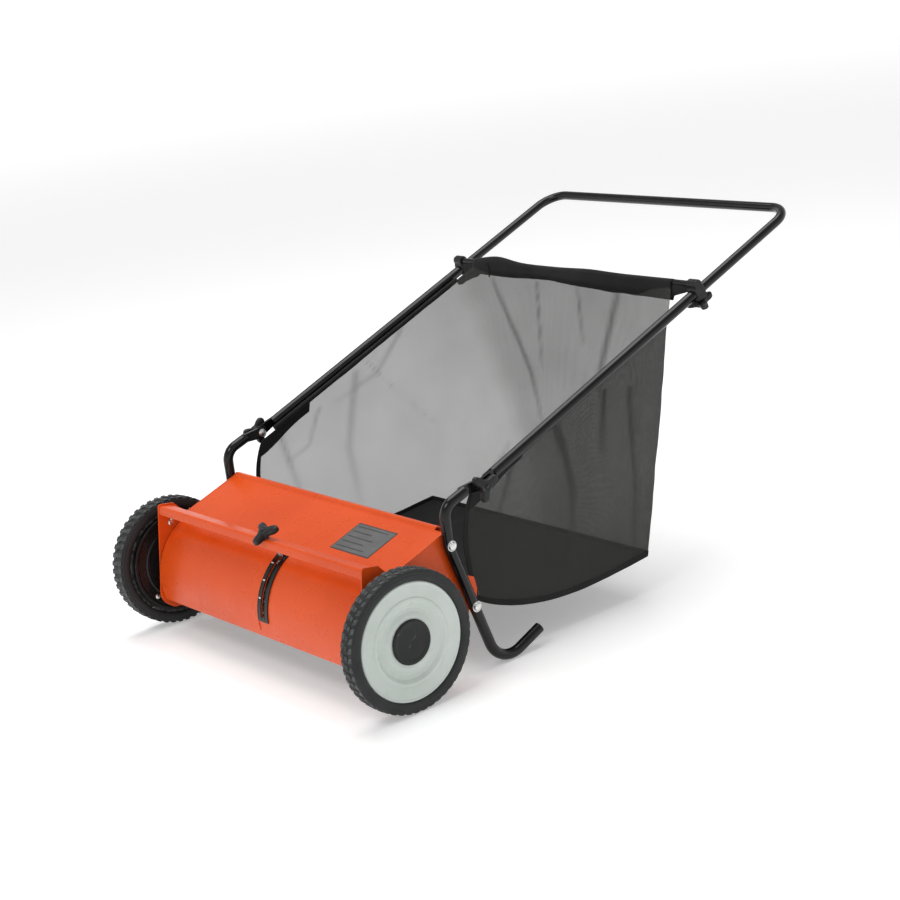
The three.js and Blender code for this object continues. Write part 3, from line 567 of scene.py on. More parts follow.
def slot_guide():
    """A moulded black frame around the slot, with a raised rim and pale graduation ticks."""
    base = COVER_R + COVER_T + GAP
    x0, x1 = GUIDE_X - GUIDE_HALF, GUIDE_X + GUIDE_HALF
    slot = (GUIDE_X - SLOT_HALF - 0.2, GUIDE_X + SLOT_HALF + 0.2)

    def rail(lift, arc, thickness, left, right, steps=60):
        return extruded(strip_outline(arc_line(base + lift, *arc, steps), thickness), left, right)
    rails = [rail(0.6, GUIDE_ARC, 1.2, x0, slot[0]), rail(0.6, GUIDE_ARC, 1.2, slot[1], x1),
             rail(0.6, (GUIDE_ARC[0], SLOT_ARC[0]), 1.2, *slot, 8),
             rail(0.6, (SLOT_ARC[1], GUIDE_ARC[1]), 1.2, *slot, 8)]
    for left in (x0, slot[0] - 1.2, slot[1], x1 - 1.2):
        rails.append(rail(1.3, (121, 189), 0.5, left, left + 1.2))
    piece("guide_frame", "cover", GLOSS_PLASTIC, merged(*rails), "slot_guide", bevel=0.2)
    ticks = [rail(1.3, (angle, angle + 1.1), 0.25, x0 + 1.6, slot[0] - 1.6, 2) for angle in TICK_ANGLES]
    piece("guide_ticks", "cover", WHITE_PRINT, merged(*ticks))


# ---- knobs and bolts ------------------------------------------------------------------------
def arm_radius(angle):
    """How far the three-armed outline reaches in a direction, from the knob's axis."""
    off = (angle + pi / 3) % (2 * pi / 3) - pi / 3
    length = ARM_REACH - ARM_HALF
    across = length * abs(sin(off))
    if across < ARM_HALF:
        return max(HUB_R, length * cos(off) + sqrt(ARM_HALF ** 2 - across ** 2))
    return max(HUB_R, min((ARM_HALF + 1.2) / abs(sin(off)), ARM_REACH))


def knob(name, body, matrix):
    """A moulded three-armed knob that stands on the origin along +z, then is placed by the matrix."""
    angles = spread(120)
    reach = [arm_radius(a) for a in angles]
    soft = [sum(reach[(k + j) % len(reach)] for j in (-2, -1, 0, 1, 2)) / 5 for k in range(len(reach))]
    rings = []
    for z, arm, hub in ((0, 0, 5.5), (1.8, 0, 6.2), (2.2, 0.9, 0), (3.2, 0.985, 0), (6, 1, 0),
                        (9.2, 0.985, 0), (10.6, 0.93, 0), (11.2, 0.82, 0), (11.5, 0.4, 4.9), (12.3, 0, 6.8),
                        (12.5, 0, 5.4), (12.4, 0, 4.4), (11.8, 0, 4.1), (11.8, 0, CORE)):
        rings.append([((arm * r + hub) * cos(a), (arm * r + hub) * sin(a), z)
                      for a, r in zip(angles, soft)])
    piece(name, body, PLASTIC, placed(matrix, loft(rings)), body, sharp=40)
    screw = flat2(fillet([(CORE, 11.6), (3.4, 11.6), (3.4, 12.8), (2.4, 13.4), (CORE, 13.6)], 0.4, 2))
    rings = [[(r * cos(a), r * sin(a), z) for r, z in screw] for a in angles[::4]]
    shape = loft(rings, closed_rings=False, closed_path=True, caps=False)
    piece(name + "_screw", body, PLASTIC, placed(matrix, shape))


def turn(angle, axis):
    return Matrix.Rotation(angle, 4, axis)


def at_clamp(u, v):
    """A (y, z) point of the clamp, u along the tube and v square to it, upwards."""
    return polar(polar(on_handle(CLAMP_Y), u, SLOPE), v, SLOPE + pi / 2)


CROSSBAR = at_clamp(0, TUBE_R + CROSSBAR_R + GAP)


def knobs():
    radial = (Matrix.Translation((GUIDE_X, *BRUSH)) @ turn(KNOB_ANGLE - pi / 2, "X")
              @ Matrix.Translation((0, 0, KNOB_SEAT)) @ turn(radians(FRONT_ARM), "Z"))
    knob("front_arm_knob", "front_knob", radial)
    for side, s in SIDES:
        spin = turn(radians(FOLD_ARM[side] + 90 * s), "X") @ turn(s * pi / 2, "Y")
        seat = Matrix.Translation((s * FOLD_KNOB_X, *PIVOT))
        knob(f"fold_arm_knob_{side}", f"fold_knob_{side}", seat @ spin)
        seat = Matrix.Translation((s * TUBE_X, *at_clamp(0, CLAMP_BASE - GAP)))
        spin = turn(pi + SLOPE, "X") @ turn(radians(CLAMP_ARM[side]), "Z")
        knob(f"clamp_arm_knob_{side}", f"clamp_knob_{side}", seat @ spin)


def hex_head(x0, x1, centre, width, s):
    """A chamfered hexagon nut or head between two x distances."""
    corner = width / sqrt(3)
    return loft([[(s * x, *polar(centre, corner * size, pi * k / 3)) for k in range(6)]
                 for x, size in ((x0, 1), (x1 - 0.6, 1), (x1, 0.88))])


def tube_bolt(label, side, s, at, nut):
    head = TUBE_X + TUBE_R + GAP
    dome = [(CORE, head), (6.5, head), (6.5, head + 0.8), (5.2, head + 2.6), (2.4, head + 3.8),
            (CORE, head + 4)]
    washer = [(3, 287.9), (7.6, 287.9), (7.6, 288.1), (3, 288.1)]
    shank = [(CORE, nut), (3, nut), (3, head), (CORE, head)]
    shape = merged(turned(dome, at, 36, s), turned(shank, at, 24, s),
                   hex_head(nut + 3, nut + 0.2, at, 10, s), turned(washer, at, 36, s))
    piece(f"bolt_{label}_{side}", "housing", ZINC, shape, f"tube_bolt_{label}_{side}", sharp=30)


def fold_stud(side, s):
    seat = TUBE_X - TAB_T - 2 * GAP
    shank = [(CORE, seat), (4, seat), (4, seat + 22), (CORE, seat + 22)]
    dome = [(CORE, seat - 3.4), (3.4, seat - 3.2), (6.3, seat - 1.4), (6.5, seat), (CORE, seat)]
    shape = merged(turned(shank, PIVOT, 28, s), turned(dome, PIVOT, 36, s))
    piece(f"fold_stud_{side}", "housing", ZINC, shape, f"fold_bolt_{side}")


def bolts():
    for side, s in SIDES:
        for label, at, nut in zip(("upper", "lower"), TUBE_BOLTS, NUT_SEATS):
            tube_bolt(label, side, s, at, nut)
        fold_stud(side, s)


def clamp_bolt():
    """The bolt that runs from inside the cover, through the slot and the tie bar, to the front knob."""
    matrix = Matrix.Translation((GUIDE_X, *BRUSH)) @ turn(KNOB_ANGLE - pi / 2, "X")

    def stack(radius, low, high):
        return loft([[(*polar((0, 0), radius, a), z) for a in spread(28)] for z in (low, high)])
    shape = merged(stack(7, COVER_R - 4, COVER_R - 1), stack(2.8, COVER_R - 2, KNOB_SEAT + 9),
                   stack(5.5, COVER_R + COVER_T + 4, 126), stack(3.6, 125, KNOB_SEAT - GAP))
    piece("cover_clamp_bolt", "housing", ZINC, placed(matrix, shape), "front_bolt", bevel=0.3)


# ---- wheels ---------------------------------------------------------------------------------
def tread_block(angle0, angle1, x0, x1, slant, crown, low):
    """One tread block on the tyre: a slanted footprint with a smaller crown."""
    verts = []
    for radius, inset in ((low, 0), (crown - 0.9, 0), (crown, 1)):
        for x, a in ((x0 + inset, angle0), (x1 - inset, angle0 + slant), (x1 - inset, angle1 + slant),
                     (x0 + inset, angle1)):
            lean = inset / crown
            a = a + (lean if a in (angle0, angle0 + slant) else -lean)
            verts.append((x, *polar(AXLE, radius, a)))
    faces = [(0, 3, 2, 1), (8, 9, 10, 11)]
    for base in (0, 4):
        for k in range(4):
            a, b = base + k, base + (k + 1) % 4
            faces.append((a, b, b + 4, a + 4))
    return verts, faces


def tyre(side, s):
    w = WHEEL_IN
    far = w + WHEEL_W
    profile = [(84.2, w + 3), (84.4, w + 1.6), (88, w + 0.4), (92, w + 0.2), (93.5, w + 0.8),
               (95.5, w + 0.6), (98.9, w + 1.8), (TREAD_LOW, w + 5), (TREAD_LOW, far - 5), (98.9, far - 1.8),
               (95.5, far - 0.6), (93.5, far - 0.8), (92, far - 0.2), (88, far - 0.4), (85.4, far - 1.4),
               (84.2, far - 2.8)]
    parts = [turned(flat2(fillet(profile, 1.2, 3, closed=True)), AXLE, 144, s)]
    crowns = [0] * len(parts[0][0])
    pitch = 2 * pi / LUGS
    for k in range(LUGS):
        a = pitch * k
        blocks = ((a, a + 0.62 * pitch, w + 2.6, w + 10.6, 0.16 * pitch, 100.9),
                  (a + 0.5 * pitch, a + 1.12 * pitch, far - 10.6, far - 2.6, -0.16 * pitch, 100.9),
                  (a + 0.24 * pitch, a + 0.72 * pitch, w + 11.8, far - 11.8, 0.1 * pitch, WHEEL_R - 0.15))
        for a0, a1, x0, x1, slant, crown in blocks:
            parts.append(tread_block(a0, a1, s * x0, s * x1, slant, crown, TREAD_LOW - 3.5))
            crowns += [0] * 4 + [0.35] * 4 + [1] * 4
    piece(f"treaded_tyre_{side}", f"wheel_{side}", RUBBER, merged(*parts), f"tyre_{side}", sharp=38,
          layers={"crown": crowns})


def wheel(side, s):
    w = WHEEL_IN
    body = f"wheel_{side}"
    tyre(side, s)
    disc = [(83.8, w + 21.1), (83.9, w + 25.9), (82.6, w + 27.4), (80.9, w + 27.4), (79.4, w + 26.3),
            (65, w + 25.6), (62.5, w + 25.2), (60.5, w + 26.6), (57.5, w + 26.6), (55.5, w + 25),
            (52.5, w + 22.8), (46.5, w + 21.8), (42, w + 22.3), (38.5, w + 24), (36, w + 25.2),
            (33, w + 25), (6.4, w + 25), (6.4, w + 21.1)]
    shape = turned(flat2(fillet(disc, 0.9, 4, closed=True)), AXLE, 160, s)
    piece(f"dished_disc_{side}", body, PALE, shape, f"wheel_disc_{side}", sharp=50)
    cap = [(CORE, w + 27.3), (8, w + 27.3), (16, w + 27.3), (24.5, w + 27.3), (26.2, w + 28),
           (28.6, w + 28.5), (30.6, w + 28.1), (31.8, w + 26.9), (32, w + 25.4), (CORE, w + 25.4)]
    axle_piece(f"wheel_cap_{side}", body, PLASTIC, cap, AXLE, s, f"hub_cap_{side}", soft=0.9, sharp=50)


def gear_cover(side, s):
    """The fixed black cover inside the wheel: a stepped disc with bosses and bright screws."""
    disc = [(CORE, 289.6), (52, 289.6), (54, 288.4), (57, 288.4), (59, 289.4), (72, 289.4), (74.5, 288.3),
            (78.6, 288.3), (78.9, 290.4), (77.4, 292.1), (CORE, 292.1)]
    parts = [turned(flat2(fillet(disc, 0.7, 3, closed=True)), AXLE, 128, s)]
    for centre, radius, start in ((AXLE, 12, 271.6), (BRUSH, 14, 273.4)):
        boss = [(6.4, start), (radius - 0.8, start), (radius, start + 1), (radius, 287), (radius + 2, 289.8),
                (6.4, 289.8)]
        parts.append(turned(boss, centre, 48, s))
    piece(f"gear_case_{side}", "housing", GLOSS_PLASTIC, merged(*parts), f"gear_cover_{side}", sharp=35)
    head = [(CORE, 286.4), (2.4, 286.6), (3.9, 287.6), (4.2, 289.5), (CORE, 289.5)]
    screws = [turned(head, polar(AXLE, 65.5, radians(angle)), 24, s) for angle in (232, 112, 352)]
    piece(f"gear_case_screws_{side}", "housing", ZINC, merged(*screws))


def axle_parts():
    end = WHEEL_IN + AXLE_REACH
    stub = [(CORE, 264.6), (10.6, 264.6), (11, 265.4), (11, 268.4), (6, 268.4), (6, end - 1), (5, end),
            (CORE, end)]
    bearing = [(6.3, 264.6), (13.6, 264.6), (14, 265.2), (14, 268.4), (9, 268.4), (9, 272.6), (6.3, 272.6)]
    for side, s in SIDES:
        wheel(side, s)
        gear_cover(side, s)
        axle_piece(f"axle_stub_{side}", "housing", ZINC, stub, AXLE, s, f"stub_axle_{side}", 48, 0.3)
        axle_piece(f"bearing_{side}", "housing", PLASTIC, bearing, BRUSH, s,
                   f"shaft_bearing_{side}", 48, 0.4)


# ---- brush ----------------------------------------------------------------------------------
def strand_path(row, tuft, strand):
    """One bristle: from the core's skin outwards, leaning a little its own way."""
    base = pi / 2 * row + pi / 4
    seed = Vector((row * 17.3 + 0.5, tuft * 1.37, strand * 3.1))
    lean = Vector([noise.noise(seed + Vector((0, 0, 40 * k))) for k in (1, 2, 3)]) * 5
    foot = -250 + 500 * tuft / (TUFTS - 1) + 1.6 * cos(strand * 2.4)
    angle = base + lean.y * 0.012
    tip_r = BRISTLE_TIP + 1.4 * noise.noise(seed * 2.3)
    return [(foot, *polar(BRUSH, 20.5, base + 0.05 * sin(strand * 2.4))),
            (foot + lean.x * 0.35, *polar(BRUSH, 52, angle + lean.y * 0.003)),
            (foot + lean.x, *polar(BRUSH, tip_r, angle + lean.z * 0.01))]


def brush():
    """Rows of bristle tufts that stand in a moulded core on a steel shaft."""
    core = [(6.3, -256), (20, -256), (21, -255), (21, 255), (20, 256), (6.3, 256)]
    piece("brush_hub", "brush", PLASTIC, turned(core, BRUSH, 64), "brush_core")
    end = WHEEL_IN + SHAFT_REACH
    shaft = [(CORE, -end), (5.4, -end), (6, -end + 0.8), (6, end - 0.8), (5.4, end), (CORE, end)]
    piece("brush_spindle", "brush", ZINC, turned(shaft, BRUSH, 40), "brush_shaft", sharp=25)
    for row in range(BRISTLE_ROWS):
        strands = [tube_mesh(strand_path(row, tuft, strand), 0.75, 0, 4)
                   for tuft in range(TUFTS) for strand in range(STRANDS)]
        piece(f"bristle_tufts_{row + 1}", "brush", BRISTLE, merged(*strands), f"bristle_row_{row + 1}")


# ---- tubes ----------------------------------------------------------------------------------
def plane_path(x, points):
    return [Vector((x, y, z)) for y, z in points]


def tube_tab(s, near, angle):
    """The flattened end of a tube round the fold bolt; angle is the way it runs from the bolt."""
    outline = stadium(PIVOT, TAB_R, polar(PIVOT, TAB_REACH + TUBE_R, angle), 6.5)
    return extruded(outline, s * near, s * (near + TAB_T))


def tubes():
    for side, s in SIDES:
        top = polar(PIVOT, -TAB_REACH, LOWER_TAB_SLOPE)
        path = fillet(plane_path(s * TUBE_X, [HOOK_TIP, HOOK_VERTEX, TUBE_BOLTS[0], NECK_CORNER, top]),
                      [0, HOOK_BEND, 0, NECK_BEND, 0], 12)
        tab = tube_tab(s, TUBE_X - TAB_T - GAP, LOWER_TAB_SLOPE + pi)
        shape = merged(tube_mesh(path, TUBE_R, TUBE_WALL, 28), tab)
        piece(f"lower_leg_{side}", "housing", BLACK_PAINT, shape, f"lower_tube_{side}", bevel=0.5)
        path = plane_path(s * TUBE_X, [polar(PIVOT, TAB_REACH, SLOPE), on_handle(CLAMP_Y)])
        shape = merged(tube_mesh(path, TUBE_R, TUBE_WALL, 28), tube_tab(s, TUBE_X + GAP, SLOPE))
        piece(f"handle_side_{side}", "handle", BLACK_PAINT, shape, f"handle_bar_{side}", bevel=0.5)
        path = plane_path(s * ROD_X, [on_handle(172, ROD_DROP), on_handle(535, ROD_DROP)])
        rod = tube_mesh(path, ROD_R, 0, 16)
        piece(f"hem_rod_{side}", "handle", BLACK_PAINT, rod, f"hopper_rod_{side}", bevel=0.5)
    start = polar(on_handle(CLAMP_Y), 0.3, SLOPE)
    corner = on_handle(CORNER_Y)
    path = fillet([*plane_path(-TUBE_X, [start, corner]), *plane_path(TUBE_X, [corner, start])], 38, 14)
    grip = tube_mesh(path, TUBE_R - 0.6, TUBE_WALL, 28)
    piece("grip_tube", "handle", BLACK_PAINT, grip, "handle_grip", bevel=0.5)


def cross_rod(name, body, look, half, at, radius, sides, node, bevel):
    shape = tube_mesh([(-half, *at), (half, *at)], radius, 0, sides)
    piece(name, body, look, shape, node, bevel=bevel)


def cross_rods():
    cross_rod("hem_crossbar", "handle", BLACK_PAINT, 288, CROSSBAR, CROSSBAR_R, 24, "hopper_crossbar", 0.5)
    cross_rod("hem_front_rod", "handle", ZINC, 258, FRONT_ROD, ROD_R, 16, "hopper_front_rod", 0.4)
    cross_rod("tie_rod", "housing", ZINC, 265, TIE_ROD, TIE_ROD_R, 24, "rear_tie_rod", 0.4)


def clamps():
    """Moulded clips around the handle tubes, hooked over the crossbar, with a stud for the knob."""
    body = [(-9, CLAMP_BASE), (9, CLAMP_BASE), (9.8, 7), (7.4, 11), (7.8, 16), (4, 21), (-4, 21), (-7.8, 16),
            (-7.4, 11), (-9.8, 7)]
    rib = [(-3, -10.6), (3, -10.6), (3.4, 22), (-3.4, 22)]
    body = flat2(fillet([at_clamp(*p) for p in body], [3, 3, 5, 4, 4, 4, 4, 4, 4, 5], 5, closed=True))
    rib = flat2(fillet([at_clamp(*p) for p in rib], 2.2, 4, closed=True))
    for side, s in SIDES:
        stud = [Vector((s * TUBE_X, *at_clamp(0, v))) for v in (CLAMP_BASE + 2, CLAMP_BASE - 9)]
        shape = merged(extruded(body, s * 270.4, s * 289.2), extruded(rib, s * 274.5, s * 285.5),
                       tube_mesh(stud, 3, 0, 20))
        piece(f"clip_{side}", "handle", PLASTIC, shape, f"upper_clamp_{side}", bevel=1, steps=3)


# ---- label ----------------------------------------------------------------------------------
def label():
    """A plain grey plate with a dark border and blank bars, lying on the top panel's slope."""
    low = Vector(PANEL_LOW)
    along = (Vector(PANEL_HIGH) - low).normalized()
    normal = Vector((-along.y, along.x))

    def plate(x0, x1, t0, t1, lift, thick):
        verts = []
        for height in (lift, lift + thick):
            for x, t in ((x0, t0), (x1, t0), (x1, t1), (x0, t1)):
                verts.append((x, *(low + along * t + normal * (PANEL_T / 2 + height))))
        return verts, [(3, 2, 1, 0), (4, 5, 6, 7), (0, 1, 5, 4), (1, 2, 6, 5), (2, 3, 7, 6), (3, 0, 4, 7)]
    x0, x1, t0, t1 = LABEL
    piece("label_border", "housing", PRINT_DARK, plate(x0, x1, t0, t1, 0.05, 0.25), bevel=0.1)
    piece("label_face", "housing", PRINT_GREY, plate(x0 + 2, x1 - 2, t0 + 2, t1 - 2, 0.3, 0.1), bevel=0.05)
    bars = []
    for k, share in enumerate((0.9, 0.55, 0.75, 0.65, 0.8)):
        t = t1 - 6 - (t1 - t0 - 12) * k / 4.4
        bars.append(plate(x0 + 6, x0 + 6 + (x1 - x0 - 12) * share, t - 2.2, t, 0.4, 0.06))
    piece("label_bars", "housing", PRINT_DARK, merged(*bars))


# ---- hopper ---------------------------------------------------------------------------------
FRONT_LOW, REAR_LOW = (156, 127), (487, 143)
SAG = 28
HEM_DROP = ROD_DROP + ROD_R + GAP
TOP_FRONT, TOP_REAR = on_handle(143, HEM_DROP), on_handle(516, HEM_DROP)
BAND_TOP, BAND_HALF = (553.5, 543), 238
GUSSET = 0.13
SIDE_STEPS, REAR_STEPS, ROWS = 54, 72, 64
# Creases: points in (y, z) on a side or (x, z) on the rear, depth in mm and width.
CREASES = {
    ("side", -1): [([(253, 322), (235, 264), (194, 241)], -4, 9),
                   ([(330, 372), (318, 250), (340, 160)], 3, 18),
                   ([(420, 440), (372, 372), (290, 330)], -4, 12),
                   ([(180, 285), (215, 200), (210, 150)], 3, 14), ([(350, 392), (520, 250)], -1.2, 3)],
    ("side", 1): [([(226, 330), (190, 241)], -3.5, 8), ([(443, 400), (460, 258), (458, 162)], -5, 10),
                  ([(300, 355), (330, 260), (322, 150)], 3.5, 16), ([(395, 400), (382, 320)], -3, 9)],
    ("rear", 0): [([(-179, 522), (-63, 383), (-23, 310)], -5, 9), ([(-70, 523), (-40, 394)], -4, 7),
                  ([(120, 523), (96, 400), (130, 280)], 4, 15), ([(-150, 160), (-95, 260)], 4, 14),
                  ([(30, 520), (52, 440)], -3, 8)],
}


def smooth(t):
    t = min(max(t, 0), 1)
    return t * t * (3 - 2 * t)


def mixed(a, b, t):
    return tuple(p + (q - p) * t for p, q in zip(a, b))


def floor_edge(t):
    """The (y, z) line of the floor's side edge, t from the front to the rear seam."""
    y, z = mixed(FRONT_LOW, REAR_LOW, t)
    return y, z - SAG * sin(pi * t ** 0.8)


def crease(panel, a, b):
    """How far out the creases move a point of a panel, and how much painted shade they give it, partly for
    cloth doubled in the fold.
    """
    here, out, doubled_and_shade = Vector((a, b)), 0, 0
    for line, depth, width in CREASES[panel]:
        near, reach = 1e9, 1
        for k, (p, q) in enumerate(zip(line, line[1:])):
            p, q = Vector(p), Vector(q)
            t = min(max((here - p).dot(q - p) / (q - p).length_squared, 0), 1)
            distance = (here - p - (q - p) * t).length
            if distance < near:
                near, reach = distance, 1 - 0.75 * (k + t) / (len(line) - 1)
        fold = exp(-(near / width) ** 2) * reach
        out += depth * fold
        # Painted shade along each crease, partly for cloth doubled in the fold.
        doubled_and_shade += exp(-(near / (width * 0.42)) ** 2) * reach
    return out, min(doubled_and_shade, 1)


def side_point(s, t, v):
    """A point of a side wall: t from front to rear, v from the top hem (0) to the floor seam (1)."""
    corner_v = max(0, (v - GUSSET) / (1 - GUSSET))
    v += (corner_v - v) * smooth((t - 0.7) / 0.3)
    y, z = mixed(mixed(TOP_FRONT, TOP_REAR, t), floor_edge(t), v)
    y -= 15 * sin(pi * v ** 0.8) * (1 - t) ** 4
    out, doubled_and_shade = crease(("side", s), y, z)
    slack = sin(pi * t) * sin(pi * v)
    x = BAG_X - 1.5 + 5 * slack ** 0.8 + out * sin(pi * min(t, v)) ** 0.3
    x -= 5 * sin(pi * v) * smooth((t - 0.75) / 0.25) * (1 - smooth((t - 0.97) / 0.03))
    # Painted shade: the near (right) side wall is made darker and more closed all over than the left, and
    # both darken along their creases.
    return Vector((s * x, y, z)), (0.42 if s > 0 else 0) + (0.5 if s > 0 else 0.3) * doubled_and_shade


def rear_point(u, v):
    """A point of the rear panel: u across from -1 to 1, v from the crossbar (0) to the floor seam (1)."""
    middle = Vector((0, *mixed(BAND_TOP, REAR_LOW, v)))
    middle.y += 9 * sin(pi * v) * (1 - 0.3 * u * u)
    middle.z -= 3 * sin(pi * ((u + 1) * 1.5 % 1)) * (1 - v) ** 6
    knee = (BAG_X, *TOP_REAR)
    if v < GUSSET:
        edge = Vector(mixed((BAND_HALF, *BAND_TOP), knee, v / GUSSET))
    else:
        edge = Vector(mixed(knee, (BAG_X - 1.5, *REAR_LOW), (v - GUSSET) / (1 - GUSSET)))
    share = abs(u) ** 5
    y, z = middle.y + (edge.y - middle.y) * share, middle.z + (edge.z - middle.z) * share
    out, doubled_and_shade = crease(("rear", 0), u * edge.x, z)
    hold = sin(pi * min(v, 1)) ** 0.4 * (1 - abs(u) ** 8)
    # Painted shade: the rear panel is made darker and more closed right of its main crease, and along its
    # creases.
    shaded_past_crease = smooth((u * edge.x - 0.78 * (330 - z)) / 90 + 1.7)
    return Vector((u * edge.x, y + out * hold, z)), 0.03 + 0.28 * shaded_past_crease + 0.6 * doubled_and_shade * hold


def hopper_grid():
    """Columns of wall points with their shades, round from the left front edge to the right one."""
    rows = [j / ROWS for j in range(ROWS + 1)]
    lefts = [[side_point(-1, i / SIDE_STEPS, v) for v in rows] for i in range(SIDE_STEPS + 1)]
    rears = [[rear_point(-1 + 2 * i / REAR_STEPS, v) for v in rows] for i in range(REAR_STEPS + 1)]
    rights = [[side_point(1, 1 - i / SIDE_STEPS, v) for v in rows] for i in range(SIDE_STEPS + 1)]
    columns = lefts + rears + rights
    for column in columns:
        for j, (point, shade) in enumerate(column):
            wobble = noise.noise(point * 0.011) * 2.6 + noise.noise(point * 0.034) * 1
            inner = sin(pi * j / ROWS)
            outward = Vector((copysign(smooth((abs(point.x) - 200) / 60), point.x), 0.7, 0.1))
            column[j] = (point + outward * wobble * inner, shade)
    return columns


def hopper(columns):
    """The see-through wall as one sheet, its weave laid out by distance along the cloth."""
    verts, uvs, shades = [], [], []
    across = 0
    middle = ROWS // 2
    for i, column in enumerate(columns):
        if i:
            across += (column[middle][0] - columns[i - 1][middle][0]).length * MM
        down = 0
        for j, (point, shade) in enumerate(column):
            if j:
                down += (point - column[j - 1][0]).length * MM
            verts.append(point)
            uvs.append((across, down))
            shades.append(shade)
    faces = loft(columns, closed_rings=False)[1]
    return piece("hopper_wall", "handle", MESH_CLOTH, (verts, faces),
                 ("hopper_side_left", "hopper_side_right", "hopper_rear"), sharp=80, subdivide=1,
                 uv=uvs, layers={"shade": shades})


def hopper_floor():
    steps = 48
    rings, uvs = [], []
    for i in range(steps + 1):
        t = i / steps
        y, z = floor_edge(t)
        held = sin(pi * t)
        ring = []
        for j in range(steps + 1):
            u = -1 + 2 * j / steps
            dip = (1 - u * u) * (5 + 3 * held)
            ripple = noise.noise(Vector((u * 3, t * 4, 0.3))) * 3 * (1 - u * u)
            ring.append((u * (BAG_X - 1.5), y, z + (ripple - dip) * held))
            uvs.append((ring[-1][0] * MM, t * 0.35))
        rings.append(ring)
    return piece("hopper_base", "handle", BLACK_CLOTH, loft(rings, closed_rings=False), "hopper_floor",
                 sharp=80, subdivide=1, uv=uvs, thickness=0.9)


def ribbon(line, across, half, thickness=1.2, wave=0):
    """A flat strip along a line of points; across gives its width's direction at each point."""
    rings = []
    for i, point in enumerate(line):
        a, b = line[max(i - 1, 0)], line[min(i + 1, len(line) - 1)]
        side = across[i].normalized()
        up = side.cross((b - a).normalized()).normalized()
        base = point + up * (wave * noise.noise(point * 0.05))
        corners = ((-half, -0.5), (half, -0.5), (half, 0.5), (-half, 0.5))
        rings.append([base + side * p + up * (q * thickness) for p, q in corners])
    return loft(rings)


def weave_of(shape):
    return [((v[0] + 0.3 * v[1]) * MM, (v[2] + 0.2 * v[1]) * MM) for v in shape[0]]


def trim(name, parts):
    shape = merged(*parts)
    return piece(name, "handle", TAPE, shape, sharp=50, bevel=0.3, uv=weave_of(shape))


def bindings(columns):
    """Tape along the hopper's seams and front edges, sewn from the same points as the wall."""
    points = [[point for point, _ in column] for column in columns]
    parts = []
    for edge, inner in ((points[0], points[2]), (points[-1], points[-3])):
        parts.append(ribbon(edge, [b - a for a, b in zip(edge, inner)], 4, 1.6))
    for first, last in ((0, SIDE_STEPS), (SIDE_STEPS + 1, SIDE_STEPS + 1 + REAR_STEPS),
                        (SIDE_STEPS + REAR_STEPS + 2, len(points) - 1)):
        low = [column[-1] for column in points[first:last + 1]]
        up = [column[-3] - column[-1] for column in points[first:last + 1]]
        parts.append(ribbon([p + u.normalized() * 2 for p, u in zip(low, up)], up, 4.5, 1.8, 0.8))
    return trim("hopper_bindings", parts)


def hem_sleeve(s):
    start, end = on_handle(166, ROD_DROP), on_handle(537, ROD_DROP)
    path = [Vector((s * 266.6, *mixed(start, end, k / 40))) for k in range(41)]
    rings = []
    for p, (u, v) in zip(path, frames_along(path)):
        r = 4.6 + 0.7 * noise.noise(p * 0.04)
        rings.append([p + u * (r * cos(a)) + v * (r * 0.85 * sin(a)) for a in spread(18)])
    return loft(rings)


def hem_patch(s, columns):
    """The black patch over the front end of a hem, deepest at the front."""
    rings = []
    last = len(columns) - 1
    for k, column in enumerate(columns):
        share = k / last if s < 0 else 1 - k / last
        depth = 30 - 14 * smooth(share * 1.2)
        top = column[0][0]
        fall = (column[16][0] - top).normalized() * depth
        rings.append([top + fall * down + Vector((s * out, 0, 0)) for down, out in
                      ((0, 1.4), (0.5, 1.8), (1, 1.4), (1, -0.6), (0.5, -0.4), (0, -0.8))])
    return loft(rings)


def side_hems(columns):
    parts = []
    for s, front in ((-1, columns[:14]), (1, columns[-14:])):
        parts += [hem_sleeve(s), hem_patch(s, front)]
    return trim("hopper_side_hems", parts)


def band_section(u):
    """The band's cut at u, from -1 to 1: up its front, over the crossbar and down its back."""
    y, z = CROSSBAR
    x = u * BAND_HALF
    droop = 4 * u - 5 * exp(-((u + 0.25) / 0.28) ** 2) + 1.5 * noise.noise(Vector((u * 5, 0, 0.7)))
    drop = 20 + droop
    bump = 7.5 * exp(-((x + 180) / 45) ** 2) - 1 + 2 * exp(-((u - 0.2) / 0.2) ** 2)
    wave = 0.8 * noise.noise(Vector((u * 9, 2, 0)))
    r = CROSSBAR_R + 0.9
    front = [(y - r - 1.6 + wave, z - drop), (y - r - 0.8 + wave, z - drop * 0.5)]
    over = [(y - r * cos(a), z + (r + bump) * sin(a)) for a in (pi * k / 8 for k in range(9))]
    back = [(y + r * 0.6 + wave, z - drop * 0.5), (y - 1 + wave, z - drop - 3)]
    return [(x, *p) for p in front + over + back]


def band_flap(s):
    """The pointed end of the band, from its edge to the clip."""
    y, z = CROSSBAR
    top, low = Vector((s * (BAND_HALF - 2), y - 2, z + 5.5)), Vector((s * (BAND_HALF - 2), y - 8, z - 22))
    tip = Vector((s * 271, y - 3, z - 3))
    back = Vector((0, 1.4, 0))
    rings = []
    for k in range(9):
        t = k / 8
        a, b = top.lerp(tip, t), low.lerp(tip + Vector((0, -2, -9)), t ** 0.8)
        middle = a.lerp(b, 0.5) + Vector((0, -2 * sin(pi * t), 0))
        rings.append([a, middle, b, b + back, middle + back, a + back])
    return loft(rings)


